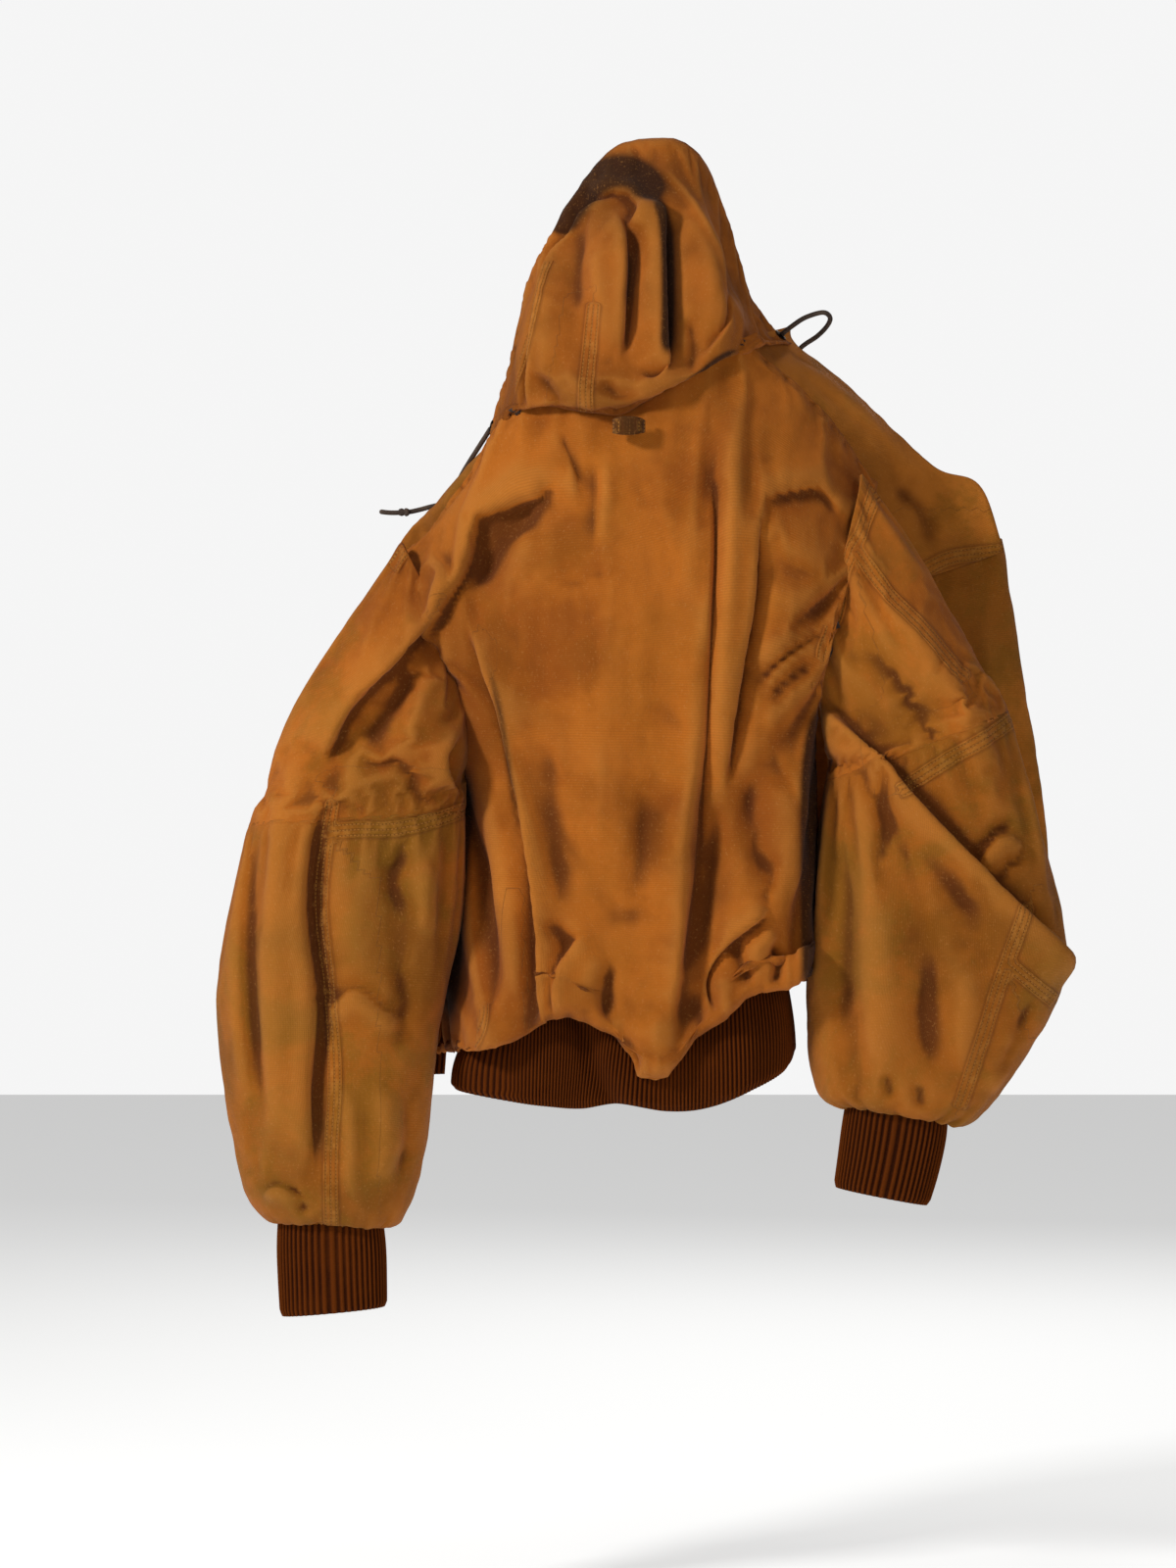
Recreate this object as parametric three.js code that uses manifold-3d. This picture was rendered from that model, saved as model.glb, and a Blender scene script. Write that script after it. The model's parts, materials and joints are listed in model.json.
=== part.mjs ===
// Hooded canvas work jacket hanging by the front hem of its hood, its back towards -Y.
// Millimetres, +Z up. The origin is where the hood's hem lies on the hook, and +X is the
// wearer's right. Both fronts are swung open and lie behind the sleeves, on the +Y side.
import * as THREE from "three";
import Module from "manifold-3d";

// ---- driving dimensions ----
const SHELL_T = 3; // canvas with its wadding, as one solid sheet
const LINING_T = 2.2;
const LINING_GAP = 0.7; // between the canvas and the lining
const SEAM_GAP = 1.2; // between two sheets that are sewn edge to edge
const RIB_T = 4; // doubled rib knit of the cuffs and waistband
const CASING_W = 24; // hem of the hood, which carries the cord
const CORD_D = 4.6;
const EYELET_R = 6.5;
const CORD_CLEAR = 0.6; // all round the cord in its eyelet
const EYELET_BORE_R = CORD_D / 2 + CORD_CLEAR;
const ZIP_TOP = -402;
const ZIP_BOTTOM = -806;
const ZIP_Y = 88; // plane of both zip tapes
const ZIP_RIGHT_X = 300; // where the right tape leaves the front
const ZIP_LEFT_X = -250;
const TAPE_W = 14;
const TAPE_T = 1.5;
const TOOTH_PITCH = 5;
const SLIDER_UP = 26; // the open zip leaves its slider this far above its end
const POCKET_DEPTH = 16; // how far a pocket stands off its front
const POCKET_GAP = 0.6; // between the sewn edges of a pocket and its front

const LOOKS = {
  canvas: { color: 0xa46326, roughness: 0.95, metalness: 0 },
  canvasWorn: { color: 0x996028, roughness: 0.95, metalness: 0 },
  canvasDark: { color: 0x82551a, roughness: 0.95, metalness: 0 },
  lining: { color: 0x2a1c14, roughness: 0.8, metalness: 0 },
  rib: { color: 0x4a260a, roughness: 1, metalness: 0 },
  tape: { color: 0x3a2614, roughness: 0.9, metalness: 0 },
  cord: { color: 0x3a2c22, roughness: 0.9, metalness: 0 },
  brass: { color: 0x8a6a34, roughness: 0.35, metalness: 1 },
  eyelet: { color: 0x1c1714, roughness: 0.4, metalness: 1 },
};

const jacket = new THREE.Group();
jacket.name = "work_jacket";

// ---- helpers ----
// A smooth run through evenly numbered values, t from 0 to 1.
function run(values, t) {
  const n = values.length - 1;
  const x = Math.min(Math.max(t, 0), 1) * n;
  const i = Math.min(Math.floor(x), n - 1);
  const f = x - i;
  const b = values[i];
  const c = values[i + 1];
  const a = i > 0 ? values[i - 1] : 2 * b - c;
  const d = i + 2 <= n ? values[i + 2] : 2 * c - b;
  const m0 = (c - a) / 2;
  const m1 = (d - b) / 2;
  const f2 = f * f;
  const f3 = f2 * f;
  return (2 * f3 - 3 * f2 + 1) * b + (f3 - 2 * f2 + f) * m0 + (3 * f2 - 2 * f3) * c + (f3 - f2) * m1;
}

function runPoint(points, t) {
  const at = (k) => run(points.map((p) => p[k]), t);
  return new THREE.Vector3(at(0), at(1), at(2));
}

// A surface through rows of points: u runs along a row and v from the first row to the last.
function surface(rows) {
  return (u, v) => {
    const across = rows.map((row) => runPoint(row, u).toArray());
    return runPoint(across, v);
  };
}

function normalOf(at, u, v) {
  const e = 0.004;
  const du = at(Math.min(u + e, 1), v).sub(at(Math.max(u - e, 0), v));
  const dv = at(u, Math.min(v + e, 1)).sub(at(u, Math.max(v - e, 0)));
  return du.cross(dv).normalize();
}

function addMesh(name, look, geometry) {
  const mesh = new THREE.Mesh(geometry, new THREE.MeshStandardMaterial(LOOKS[look]));
  mesh.name = name;
  jacket.add(mesh);
  return mesh;
}

// Builds one closed body from points and triangles, and turns it right side out.
function closedBody(points, triangles) {
  let volume = 0;
  for (const [a, b, c] of triangles) {
    volume += points[a].dot(points[b].clone().cross(points[c]));
  }
  const geometry = new THREE.BufferGeometry();
  const numbers = points.flatMap((p) => p.toArray());
  geometry.setAttribute("position", new THREE.Float32BufferAttribute(numbers, 3));
  geometry.setIndex(triangles.flatMap(([a, b, c]) => (volume > 0 ? [a, b, c] : [a, c, b])));
  geometry.computeVertexNormals();
  return geometry;
}

// A sheet of even thickness on a surface. off moves its middle along the surface's normal,
// and may be a function of s and t, which run from 0 to 1 over the sheet.
function sheet(name, look, at, { u = [0, 1], v = [0, 1], nu = 10, nv = 8, off = 0, thick = SHELL_T }) {
  const points = [];
  for (let side = 0; side < 2; side++) {
    for (let j = 0; j <= nv; j++) {
      for (let i = 0; i <= nu; i++) {
        const s = i / nu;
        const t = j / nv;
        const uu = u[0] + (u[1] - u[0]) * s;
        const v0 = typeof v[0] === "function" ? v[0](uu) : v[0];
        const v1 = typeof v[1] === "function" ? v[1](uu) : v[1];
        const vv = v0 + (v1 - v0) * t;
        const base = typeof off === "function" ? off(s, t) : off;
        const shift = base + (side === 0 ? 0.5 : -0.5) * thick;
        points.push(at(uu, vv).addScaledVector(normalOf(at, uu, vv), shift));
      }
    }
  }
  const half = (nu + 1) * (nv + 1);
  const id = (side, i, j) => side * half + j * (nu + 1) + i;
  const triangles = [];
  const quad = (a, b, c, d) => triangles.push([a, b, c], [a, c, d]);
  for (let j = 0; j < nv; j++) {
    for (let i = 0; i < nu; i++) {
      quad(id(0, i, j), id(0, i + 1, j), id(0, i + 1, j + 1), id(0, i, j + 1));
      quad(id(1, i, j + 1), id(1, i + 1, j + 1), id(1, i + 1, j), id(1, i, j));
    }
  }
  for (let i = 0; i < nu; i++) {
    quad(id(1, i, 0), id(1, i + 1, 0), id(0, i + 1, 0), id(0, i, 0));
    quad(id(0, i, nv), id(0, i + 1, nv), id(1, i + 1, nv), id(1, i, nv));
  }
  for (let j = 0; j < nv; j++) {
    quad(id(0, 0, j), id(0, 0, j + 1), id(1, 0, j + 1), id(1, 0, j));
    quad(id(1, nu, j), id(1, nu, j + 1), id(0, nu, j + 1), id(0, nu, j));
  }
  return addMesh(name, look, closedBody(points, triangles));
}

// A tube of cloth through stations [xInner, zInner, xOuter, zOuter, yMiddle, halfDepth], which
// give the two sides of its outline and its depth. inset moves the wall in from the outline.
function tube(name, look, stations, { t = [0, 1], rings = 6, around = 18, inset = 0, thick = SHELL_T }) {
  const points = [];
  for (let side = 0; side < 2; side++) {
    for (let j = 0; j <= rings; j++) {
      const tt = t[0] + ((t[1] - t[0]) * j) / rings;
      const at = (k) => run(stations.map((s) => s[k]), tt);
      const inner = new THREE.Vector3(at(0), at(4), at(1));
      const outer = new THREE.Vector3(at(2), at(4), at(3));
      const middle = inner.clone().add(outer).multiplyScalar(0.5);
      const across = outer.clone().sub(inner).multiplyScalar(0.5);
      const wide = across.length();
      const less = inset + side * thick;
      across.setLength(wide - less);
      const deep = at(5) - less;
      for (let i = 0; i < around; i++) {
        const a = (2 * Math.PI * i) / around;
        const point = middle.clone().addScaledVector(across, Math.cos(a));
        point.y += deep * Math.sin(a);
        points.push(point);
      }
    }
  }
  const half = (rings + 1) * around;
  const id = (side, i, j) => side * half + j * around + (i % around);
  const triangles = [];
  const quad = (a, b, c, d) => triangles.push([a, b, c], [a, c, d]);
  for (let i = 0; i < around; i++) {
    for (let j = 0; j < rings; j++) {
      quad(id(0, i, j), id(0, i + 1, j), id(0, i + 1, j + 1), id(0, i, j + 1));
      quad(id(1, i, j + 1), id(1, i + 1, j + 1), id(1, i + 1, j), id(1, i, j));
    }
    quad(id(1, i, 0), id(1, i + 1, 0), id(0, i + 1, 0), id(0, i, 0));
    quad(id(0, i, rings), id(0, i + 1, rings), id(1, i + 1, rings), id(1, i, rings));
  }
  return addMesh(name, look, closedBody(points, triangles));
}

// A round cord along points, closed at both ends.
function cord(name, look, route, diameter, steps) {
  const curve = new THREE.CatmullRomCurve3(route.map((p) => new THREE.Vector3(...p)), false, "centripetal");
  const section = new THREE.Shape();
  const sides = 8;
  for (let i = 0; i < sides; i++) {
    const a = (2 * Math.PI * (i + 0.5)) / sides;
    const x = (diameter / 2) * Math.cos(a);
    const y = (diameter / 2) * Math.sin(a);
    if (i === 0) section.moveTo(x, y);
    else section.lineTo(x, y);
  }
  section.closePath();
  const swept = new THREE.ExtrudeGeometry(section, { steps, extrudePath: curve, curveSegments: 1 });
  return addMesh(name, look, swept);
}

function box(name, look, x, y, z) {
  const geometry = new THREE.BoxGeometry(x[1] - x[0], y[1] - y[0], z[1] - z[0]);
  const mesh = addMesh(name, look, geometry);
  mesh.position.set((x[0] + x[1]) / 2, (y[0] + y[1]) / 2, (z[0] + z[1]) / 2);
  return mesh;
}

// ---- back of the body ----
// Rows run from the wearer's left side to the right side, and go down from the shoulder line.
const BACK_ROWS = [
  [[-222, -15, -376], [-186, -48, -320], [-140, -78, -252], [-92, -98, -252], [-43, -106, -259],
    [8, -104, -228], [57, -92, -194], [108, -74, -225], [150, -50, -262], [182, -22, -312]],
  [[-196, -25, -430], [-178, -62, -412], [-140, -95, -392], [-92, -112, -385], [-43, -118, -380],
    [8, -114, -368], [55, -118, -350], [95, -112, -352], [135, -85, -368], [158, -35, -400]],
  [[-174, -12, -508], [-162, -58, -506], [-130, -98, -503], [-90, -116, -500], [-43, -122, -500],
    [5, -112, -500], [45, -118, -500], [82, -108, -500], [110, -75, -502], [122, -12, -508]],
  [[-174, 16, -640], [-164, -45, -640], [-132, -92, -640], [-90, -108, -640], [-43, -114, -640],
    [2, -108, -640], [40, -112, -640], [82, -104, -640], [112, -65, -640], [122, 16, -640]],
  [[-188, 16, -745], [-182, -45, -745], [-148, -98, -745], [-95, -112, -745], [-43, -116, -745],
    [2, -112, -745], [42, -116, -745], [85, -108, -745], [117, -65, -745], [123, 16, -745]],
  [[-194, 16, -826], [-192, -40, -838], [-140, -88, -812], [-92, -96, -792], [-38, -98, -826],
    [0, -100, -846], [38, -98, -806], [80, -94, -778], [114, -60, -764], [122, 16, -760]],
];
const backAt = surface(BACK_ROWS);
sheet("back_panel", "canvas", backAt, { nu: 18, nv: 14 });
sheet("back_lining", "lining", backAt, {
  u: [0, 1], v: [0.03, 0.9], nu: 18, nv: 12, thick: LINING_T,
  off: SHELL_T / 2 + LINING_GAP + LINING_T / 2 + 2.6,
});

// ---- rib waistband at the back, with its top edge tucked inside the hem ----
const BAND_ROWS = [
  [[-184, 14, -812], [-180, -34, -818], [-134, -74, -792], [-90, -84, -782], [-38, -86, -790],
    [0, -88, -794], [38, -86, -780], [76, -80, -766], [102, -50, -753], [108, 14, -750]],
  [[-188, 14, -838], [-184, -36, -842], [-136, -78, -830], [-91, -88, -830], [-38, -90, -834],
    [0, -92, -838], [38, -90, -828], [78, -84, -816], [104, -53, -804], [110, 14, -796]],
  [[-190, 14, -858], [-186, -38, -864], [-138, -82, -872], [-92, -92, -879], [-38, -94, -878],
    [0, -96, -881], [38, -94, -876], [80, -88, -866], [106, -56, -854], [112, 14, -842]],
];
sheet("waistband_back", "rib", surface(BAND_ROWS), { nu: 18, nv: 4, thick: RIB_T });

// ---- yokes: the fronts above their shoulder seam, joined to the back ----
const YOKE_RIGHT_ROWS = [
  [[88, -68, -192], [105, -32, -196], [121, 8, -193]],
  [[113, -66, -221], [140, -20, -211], [160, 18, -208]],
  [[155, -40, -257], [182, -4, -244], [205, 28, -248]],
  [[188, 4, -303], [222, 32, -297], [252, 40, -290]],
  [[198, 34, -352], [245, 42, -335], [292, 46, -312]],
  [[204, 38, -393], [250, 46, -384], [310, 52, -366]],
];
sheet("yoke_right", "canvas", surface(YOKE_RIGHT_ROWS), { nu: 5, nv: 10 });
const YOKE_LEFT_ROWS = [
  [[-152, -62, -262], [-162, -26, -272], [-168, 8, -282]],
  [[-194, -34, -306], [-200, -6, -310], [-206, 20, -322]],
  [[-214, 18, -350], [-226, 28, -350], [-240, 34, -354]],
  [[-214, 36, -393], [-234, 42, -390], [-256, 46, -386]],
];
sheet("yoke_left", "canvas", surface(YOKE_LEFT_ROWS), { nu: 5, nv: 8 });

// ---- hanger loop at the back of the neck ----
const LOOP_X = -35;
const LOOP_Z = -264;
const LOOP_WIDE = 10;
const loopShape = new THREE.Shape();
const LOOP_HALF = 12;
const LOOP_STAND = 7.5;
const LOOP_T = 1.8;
loopShape.moveTo(-LOOP_HALF, 0);
loopShape.lineTo(-LOOP_HALF, -LOOP_STAND);
loopShape.lineTo(LOOP_HALF, -LOOP_STAND);
loopShape.lineTo(LOOP_HALF, 0);
loopShape.lineTo(LOOP_HALF - LOOP_T, 0);
loopShape.lineTo(LOOP_HALF - LOOP_T, LOOP_T - LOOP_STAND);
loopShape.lineTo(LOOP_T - LOOP_HALF, LOOP_T - LOOP_STAND);
loopShape.lineTo(LOOP_T - LOOP_HALF, 0);
loopShape.closePath();
const loopGeometry = new THREE.ExtrudeGeometry(loopShape, { depth: LOOP_WIDE, bevelEnabled: false });
addMesh("hanger_loop", "canvasDark", loopGeometry).position.set(LOOP_X, -110.4, LOOP_Z - LOOP_WIDE);

// ---- hood: a cowl from its front rim to the neck seam ----
const RIM = [
  [-164, 6, -276], [-152, 4, -225], [-140, 3, -180], [-124, 2, -112], [-104, 1, -72], [-78, 0, -28],
  [-46, 0, 6], [-6, 0, 14], [20, 0, 8], [38, 0, -12], [53, 1, -48], [64, 2, -84], [76, 3, -126],
  [97, 5, -158], [116, 8, -176],
];
const NECK = [
  [-154, -54, -256], [-146, -66, -248], [-138, -74, -244], [-122, -84, -243], [-104, -92, -244],
  [-84, -97, -246], [-62, -100, -249], [-40, -101, -251], [-22, -100, -242], [-4, -99, -231],
  [14, -97, -220], [30, -94, -209], [46, -90, -198], [62, -84, -189], [80, -74, -179],
];
const HOOD_BULGE = [4, 8, 16, 26, 34, 40, 42, 42, 40, 38, 34, 28, 20, 12, 6];
const HOOD_SPREAD = [-2, -4, -10, -16, -14, -8, -4, 0, 4, 12, 18, 22, 18, 10, 4];
const hoodAt = (s, t) => {
  const rim = runPoint(RIM, s);
  const neck = runPoint(NECK, s);
  const point = rim.lerp(neck, t);
  const rise = Math.sin(Math.PI * t);
  point.y -= run(HOOD_BULGE, s) * rise;
  point.x += run(HOOD_SPREAD, s) * rise;
  return point;
};
const casingEnd = (s) => CASING_W / runPoint(RIM, s).distanceTo(runPoint(NECK, s));
const seamAfter = (s) => casingEnd(s) + SEAM_GAP / runPoint(RIM, s).distanceTo(runPoint(NECK, s));
const HOOD_SEAM_LEFT = 0.4;
const HOOD_SEAM_RIGHT = 0.6;
sheet("hood_casing", "canvas", hoodAt, { v: [0, casingEnd], nu: 34, nv: 1 });
sheet("hood_panel_left", "canvas", hoodAt, {
  u: [0, HOOD_SEAM_LEFT - 0.003], v: [seamAfter, 0.985], nu: 12, nv: 8,
});
sheet("hood_panel_centre", "canvas", hoodAt, {
  u: [HOOD_SEAM_LEFT + 0.003, HOOD_SEAM_RIGHT - 0.003], v: [seamAfter, 0.985], nu: 6, nv: 8,
});
sheet("hood_panel_right", "canvas", hoodAt, {
  u: [HOOD_SEAM_RIGHT + 0.003, 1], v: [seamAfter, 0.985], nu: 12, nv: 8,
});
sheet("hood_lining", "lining", hoodAt, {
  u: [0.02, 0.98], v: [0.14, 0.95], nu: 24, nv: 8, thick: LINING_T, off: 6.5,
});

// ---- eyelets and the two ends of the drawcord ----
function eyelet(name, s, t) {
  const ring = new THREE.LatheGeometry(
    [
      new THREE.Vector2(EYELET_BORE_R, 0),
      new THREE.Vector2(EYELET_R, 0),
      new THREE.Vector2(EYELET_R - 0.6, 1.3),
      new THREE.Vector2(EYELET_BORE_R + 0.3, 1.6),
      new THREE.Vector2(EYELET_BORE_R, 0),
    ],
    20,
  );
  const out = normalOf(hoodAt, s, t).negate();
  const mesh = addMesh(name, "eyelet", ring);
  mesh.quaternion.setFromUnitVectors(new THREE.Vector3(0, 1, 0), out);
  mesh.position.copy(hoodAt(s, t).addScaledVector(out, SHELL_T / 2 + 0.9));
  return { centre: mesh.position, out };
}
const eyeLeft = eyelet("eyelet_left", 0.03, 0.18);
const eyeRight = eyelet("eyelet_right", 0.965, 0.13);
const leaveEye = (eye, far) => eye.centre.clone().addScaledVector(eye.out, far).toArray();
const CORD_LEFT = [
  leaveEye(eyeLeft, 0.2), leaveEye(eyeLeft, 6), [-186, 6, -290], [-196, 28, -306], [-206, 35, -320],
  [-222, 38, -325], [-238, 38, -329],
];
const CORD_LEFT_END = [[-250.5, 38, -330], [-259, 38, -330], [-268, 38, -329]];
const CORD_RIGHT = [
  leaveEye(eyeRight, 0.2), leaveEye(eyeRight, 6), [118, -22, -160], [130, -16, -152], [146, -12, -147],
  [153, -8, -151], [151, -2, -158], [142, 8, -167], [128, 20, -176], [116, 26, -190], [112, 28, -205],
];
cord("drawcord_left", "cord", CORD_LEFT, CORD_D, 12);
cord("drawcord_left_tip", "cord", CORD_LEFT_END, CORD_D, 3);
cord("drawcord_right", "cord", CORD_RIGHT, CORD_D, 20);
function knot(name, x, y, z, long) {
  const mesh = addMesh(name, "cord", new THREE.SphereGeometry(1, 12, 8));
  mesh.scale.set(long, 5, 5);
  mesh.position.set(x, y, z);
}
knot("cord_knot_left", -244, 38, -329.6, 5.6);
knot("cord_knot_right", 112, 28, -213, 5.2);

// ---- sleeves: [x, z] of the body side, [x, z] of the outer side, middle y and half depth ----
const ARM_LEFT = [
  [-184, -484, -244, -381, -45, 45], [-186, -507, -300, -441, -45, 51], [-185, -534, -332, -497, -45, 55],
  [-187, -573, -363, -564, -45, 57], [-190, -617, -385, -628, -45, 58],
];
const FOREARM_LEFT = [
  [-190, -621, -386, -632, -45, 58], [-191, -682, -403, -693, -45, 60], [-209, -765, -413, -765, -45, 60],
  [-222, -837, -410, -837, -45, 58], [-226, -900, -399, -900, -45, 52], [-241, -954, -385, -953, -45, 42],
  [-258, -984, -364, -978, -45, 31],
];
const CUFF_LEFT = [
  [-262, -975, -357, -969, -45, 24], [-261, -1010, -356, -1008, -45, 27],
  [-258, -1042, -355, -1042, -45, 27], [-258, -1064, -355, -1073, -45, 26],
];
const ARM_RIGHT = [
  [147, -492, 190, -318, -48, 42], [153, -515, 226, -370, -48, 50], [156, -541, 275, -450, -48, 56],
  [152, -586, 314, -525, -48, 60],
];
const FOREARM_RIGHT = [
  [152, -591, 315, -531, -48, 60], [142, -642, 344, -617, -48, 60], [137, -702, 362, -698, -48, 60],
  [137, -765, 364, -765, -48, 58], [138, -826, 329, -821, -48, 50], [147, -860, 288, -873, -48, 38],
  [162, -874, 268, -893, -48, 31],
];
const CUFF_RIGHT = [
  [167, -866, 258, -884, -48, 24], [164, -896, 255, -912, -48, 26], [160, -926, 249, -944, -48, 26],
  [156, -954, 241, -972, -48, 25],
];
const LINING_IN = SHELL_T + LINING_GAP + 1.3;
for (const [side, arm, forearm, cuff] of [
  ["left", ARM_LEFT, FOREARM_LEFT, CUFF_LEFT],
  ["right", ARM_RIGHT, FOREARM_RIGHT, CUFF_RIGHT],
]) {
  tube(`sleeve_upper_${side}`, "canvas", arm, { rings: 5 });
  tube(`sleeve_upper_lining_${side}`, "lining", arm, { rings: 5, inset: LINING_IN, thick: LINING_T });
  tube(`sleeve_lower_${side}`, "canvasDark", forearm, { rings: 9 });
  tube(`sleeve_lower_lining_${side}`, "lining", forearm, {
    t: [0, 0.88], rings: 8, inset: LINING_IN, thick: LINING_T,
  });
  tube(`cuff_${side}`, "rib", cuff, { rings: 4, thick: RIB_T });
}

// ---- fronts: from the side seam out to a fold, and back behind it to the zip ----
// Each row is [z at the side seam, x there, z at the fold, x of the fold, z at the zip].
function frontRows(rows, zipX, out) {
  return rows.map(([zSeam, xSeam, zFold, xFold, zZip]) => {
    const part = (f) => xSeam + (xFold - out * 9 - xSeam) * f;
    const fall = (f) => zSeam + (zFold - zSeam) * f;
    return [
      [xSeam, 44, zSeam], [part(0.33), 47, fall(0.33)], [part(0.66), 50, fall(0.66)], [part(1), 53, fall(1)],
      [xFold, 69, zFold], [xFold - out * 9, 84, zFold], [zipX, ZIP_Y, zZip],
    ];
  });
}
const FRONT_RIGHT = frontRows([
  [-399, 207, -372, 321, -384], [-514, 136, -508, 342, -508], [-630, 136, -630, 360, -630],
  [-732, 136, -732, 354, -732], [-800, 138, -800, 330, -806], [-858, 140, -862, 316, -862],
], ZIP_RIGHT_X, 1);
const FRONT_LEFT = frontRows([
  [-399, -218, -394, -268, -398], [-514, -188, -510, -326, -510], [-630, -188, -630, -366, -630],
  [-732, -200, -732, -374, -732], [-800, -206, -800, -346, -806], [-858, -208, -862, -330, -862],
], ZIP_LEFT_X, -1);
const BAND_AT = 0.82;
const frontRight = surface(FRONT_RIGHT);
const frontLeft = surface(FRONT_LEFT);
for (const [side, at, inward] of [["right", frontRight, 1], ["left", frontLeft, -1]]) {
  const liningOff = inward * (SHELL_T / 2 + LINING_GAP + LINING_T / 2);
  sheet(`front_panel_${side}`, "canvasWorn", at, { v: [0, BAND_AT - 0.004], nu: 18, nv: 9 });
  sheet(`front_lining_${side}`, "lining", at, {
    v: [0, BAND_AT - 0.004], nu: 18, nv: 9, thick: LINING_T, off: liningOff,
  });
  sheet(`waistband_front_${side}`, "rib", at, { v: [BAND_AT, 1], nu: 18, nv: 3, thick: RIB_T });
  // The patch pocket is open at the side seam's end and lies down on the front at its other edges.
  const edge = SHELL_T + POCKET_GAP;
  const stand = (s, t) => {
    const fromSides = Math.min(1, 4 * (1 - s), 5 * t, 5 * (1 - t));
    return -inward * (edge + (POCKET_DEPTH - edge) * Math.sin((Math.PI / 2) * fromSides));
  };
  sheet(`pocket_${side}`, "canvasWorn", at, {
    u: [0.12, 0.44], v: [0.42, 0.76], nu: 8, nv: 10, off: stand,
  });
}

// ---- zip: tapes, rows of teeth, slider and pull ----
// A row of teeth from x, on the side that out points away from.
function zipTeeth(name, x, out) {
  const shape = new THREE.Shape();
  const count = Math.floor((ZIP_TOP - ZIP_BOTTOM - 8) / TOOTH_PITCH);
  const corner = (across, along) => shape.lineTo(-out * across, along);
  shape.moveTo(0, 0);
  for (let i = 0; i < count; i++) {
    corner(3, i * TOOTH_PITCH);
    corner(6, i * TOOTH_PITCH + 0.8);
    corner(6, i * TOOTH_PITCH + 2.2);
    corner(3, i * TOOTH_PITCH + 3);
  }
  corner(3, count * TOOTH_PITCH);
  corner(0, count * TOOTH_PITCH);
  shape.closePath();
  const row = new THREE.ExtrudeGeometry(shape, { depth: 4.4, bevelEnabled: false });
  const mesh = addMesh(name, "brass", row);
  mesh.rotation.x = Math.PI / 2;
  mesh.position.set(x, ZIP_Y + 2.2, ZIP_BOTTOM + 4);
}
const edgeRight = ZIP_RIGHT_X - 0.5;
const edgeLeft = ZIP_LEFT_X + 0.5;
box("zip_tape_right", "tape", [edgeRight - TAPE_W, edgeRight], [ZIP_Y - TAPE_T / 2, ZIP_Y + TAPE_T / 2],
  [ZIP_BOTTOM, ZIP_TOP]);
box("zip_tape_left", "tape", [edgeLeft, edgeLeft + TAPE_W], [ZIP_Y - TAPE_T / 2, ZIP_Y + TAPE_T / 2],
  [ZIP_BOTTOM, ZIP_TOP]);
zipTeeth("zip_teeth_right", edgeRight - TAPE_W - 0.3, 1);
zipTeeth("zip_teeth_left", edgeLeft + TAPE_W + 0.3, -1);

const { Manifold, CrossSection, Mesh } = await (async () => {
  const kit = await Module();
  kit.setup();
  return kit;
})();
const CHAIN_X = edgeRight - TAPE_W - 3.3;
const SLIDER_LONG = 27;
const block = (sx, sy, sz, x, y, z) => Manifold.cube([sx, sy, sz], true).translate([x, y, z]);
const sliderSolid = Manifold.union([
  block(15, 11.4, SLIDER_LONG, 0, 0, 0),
  block(3, 7.2, 15, 0, 9, 1),
]).subtract(Manifold.union([
  block(8.6, 5.8, SLIDER_LONG + 2, 0, 0, 0),
  block(20, 3, SLIDER_LONG + 2, 10, 0, 0),
  block(6, 4, 10, 0, 8.6, 1),
]));
function fromManifold(solid) {
  const out = solid.getMesh();
  const points = [];
  for (let i = 0; i < out.numVert; i++) {
    points.push(out.vertProperties[i * out.numProp], out.vertProperties[i * out.numProp + 1],
      out.vertProperties[i * out.numProp + 2]);
  }
  const geometry = new THREE.BufferGeometry();
  geometry.setAttribute("position", new THREE.Float32BufferAttribute(points, 3));
  geometry.setIndex(Array.from(out.triVerts));
  geometry.computeVertexNormals();
  return geometry;
}
const slider = addMesh("zip_slider", "brass", fromManifold(sliderSolid));
const SLIDER_Z = ZIP_BOTTOM + SLIDER_UP;
slider.position.set(CHAIN_X, ZIP_Y, SLIDER_Z);
const pullShape = new THREE.Shape();
pullShape.moveTo(-4.5, 1.2);
pullShape.lineTo(4.5, 1.2);
pullShape.lineTo(4.5, -30);
pullShape.lineTo(-4.5, -30);
pullShape.closePath();
const pullHole = new THREE.Path();
pullHole.moveTo(-2.6, -1.2);
pullHole.lineTo(-2.6, -13);
pullHole.lineTo(2.6, -13);
pullHole.lineTo(2.6, -1.2);
pullHole.closePath();
pullShape.holes.push(pullHole);
const pullGeometry = new THREE.ExtrudeGeometry(pullShape, { depth: 1.6, bevelEnabled: false });
const pull = addMesh("zip_pull", "brass", pullGeometry);
pull.rotation.x = Math.PI / 2;
pull.position.set(CHAIN_X, ZIP_Y + 8.6 + 0.8, SLIDER_Z + 1);

export default jacket;
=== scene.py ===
"""Hooded canvas work jacket: the visible cloth, ribs, cords and zip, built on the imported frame."""
import json
import math

import bmesh
import bpy
import numpy as np
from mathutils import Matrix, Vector, noise
from mathutils.bvhtree import BVHTree


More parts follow.
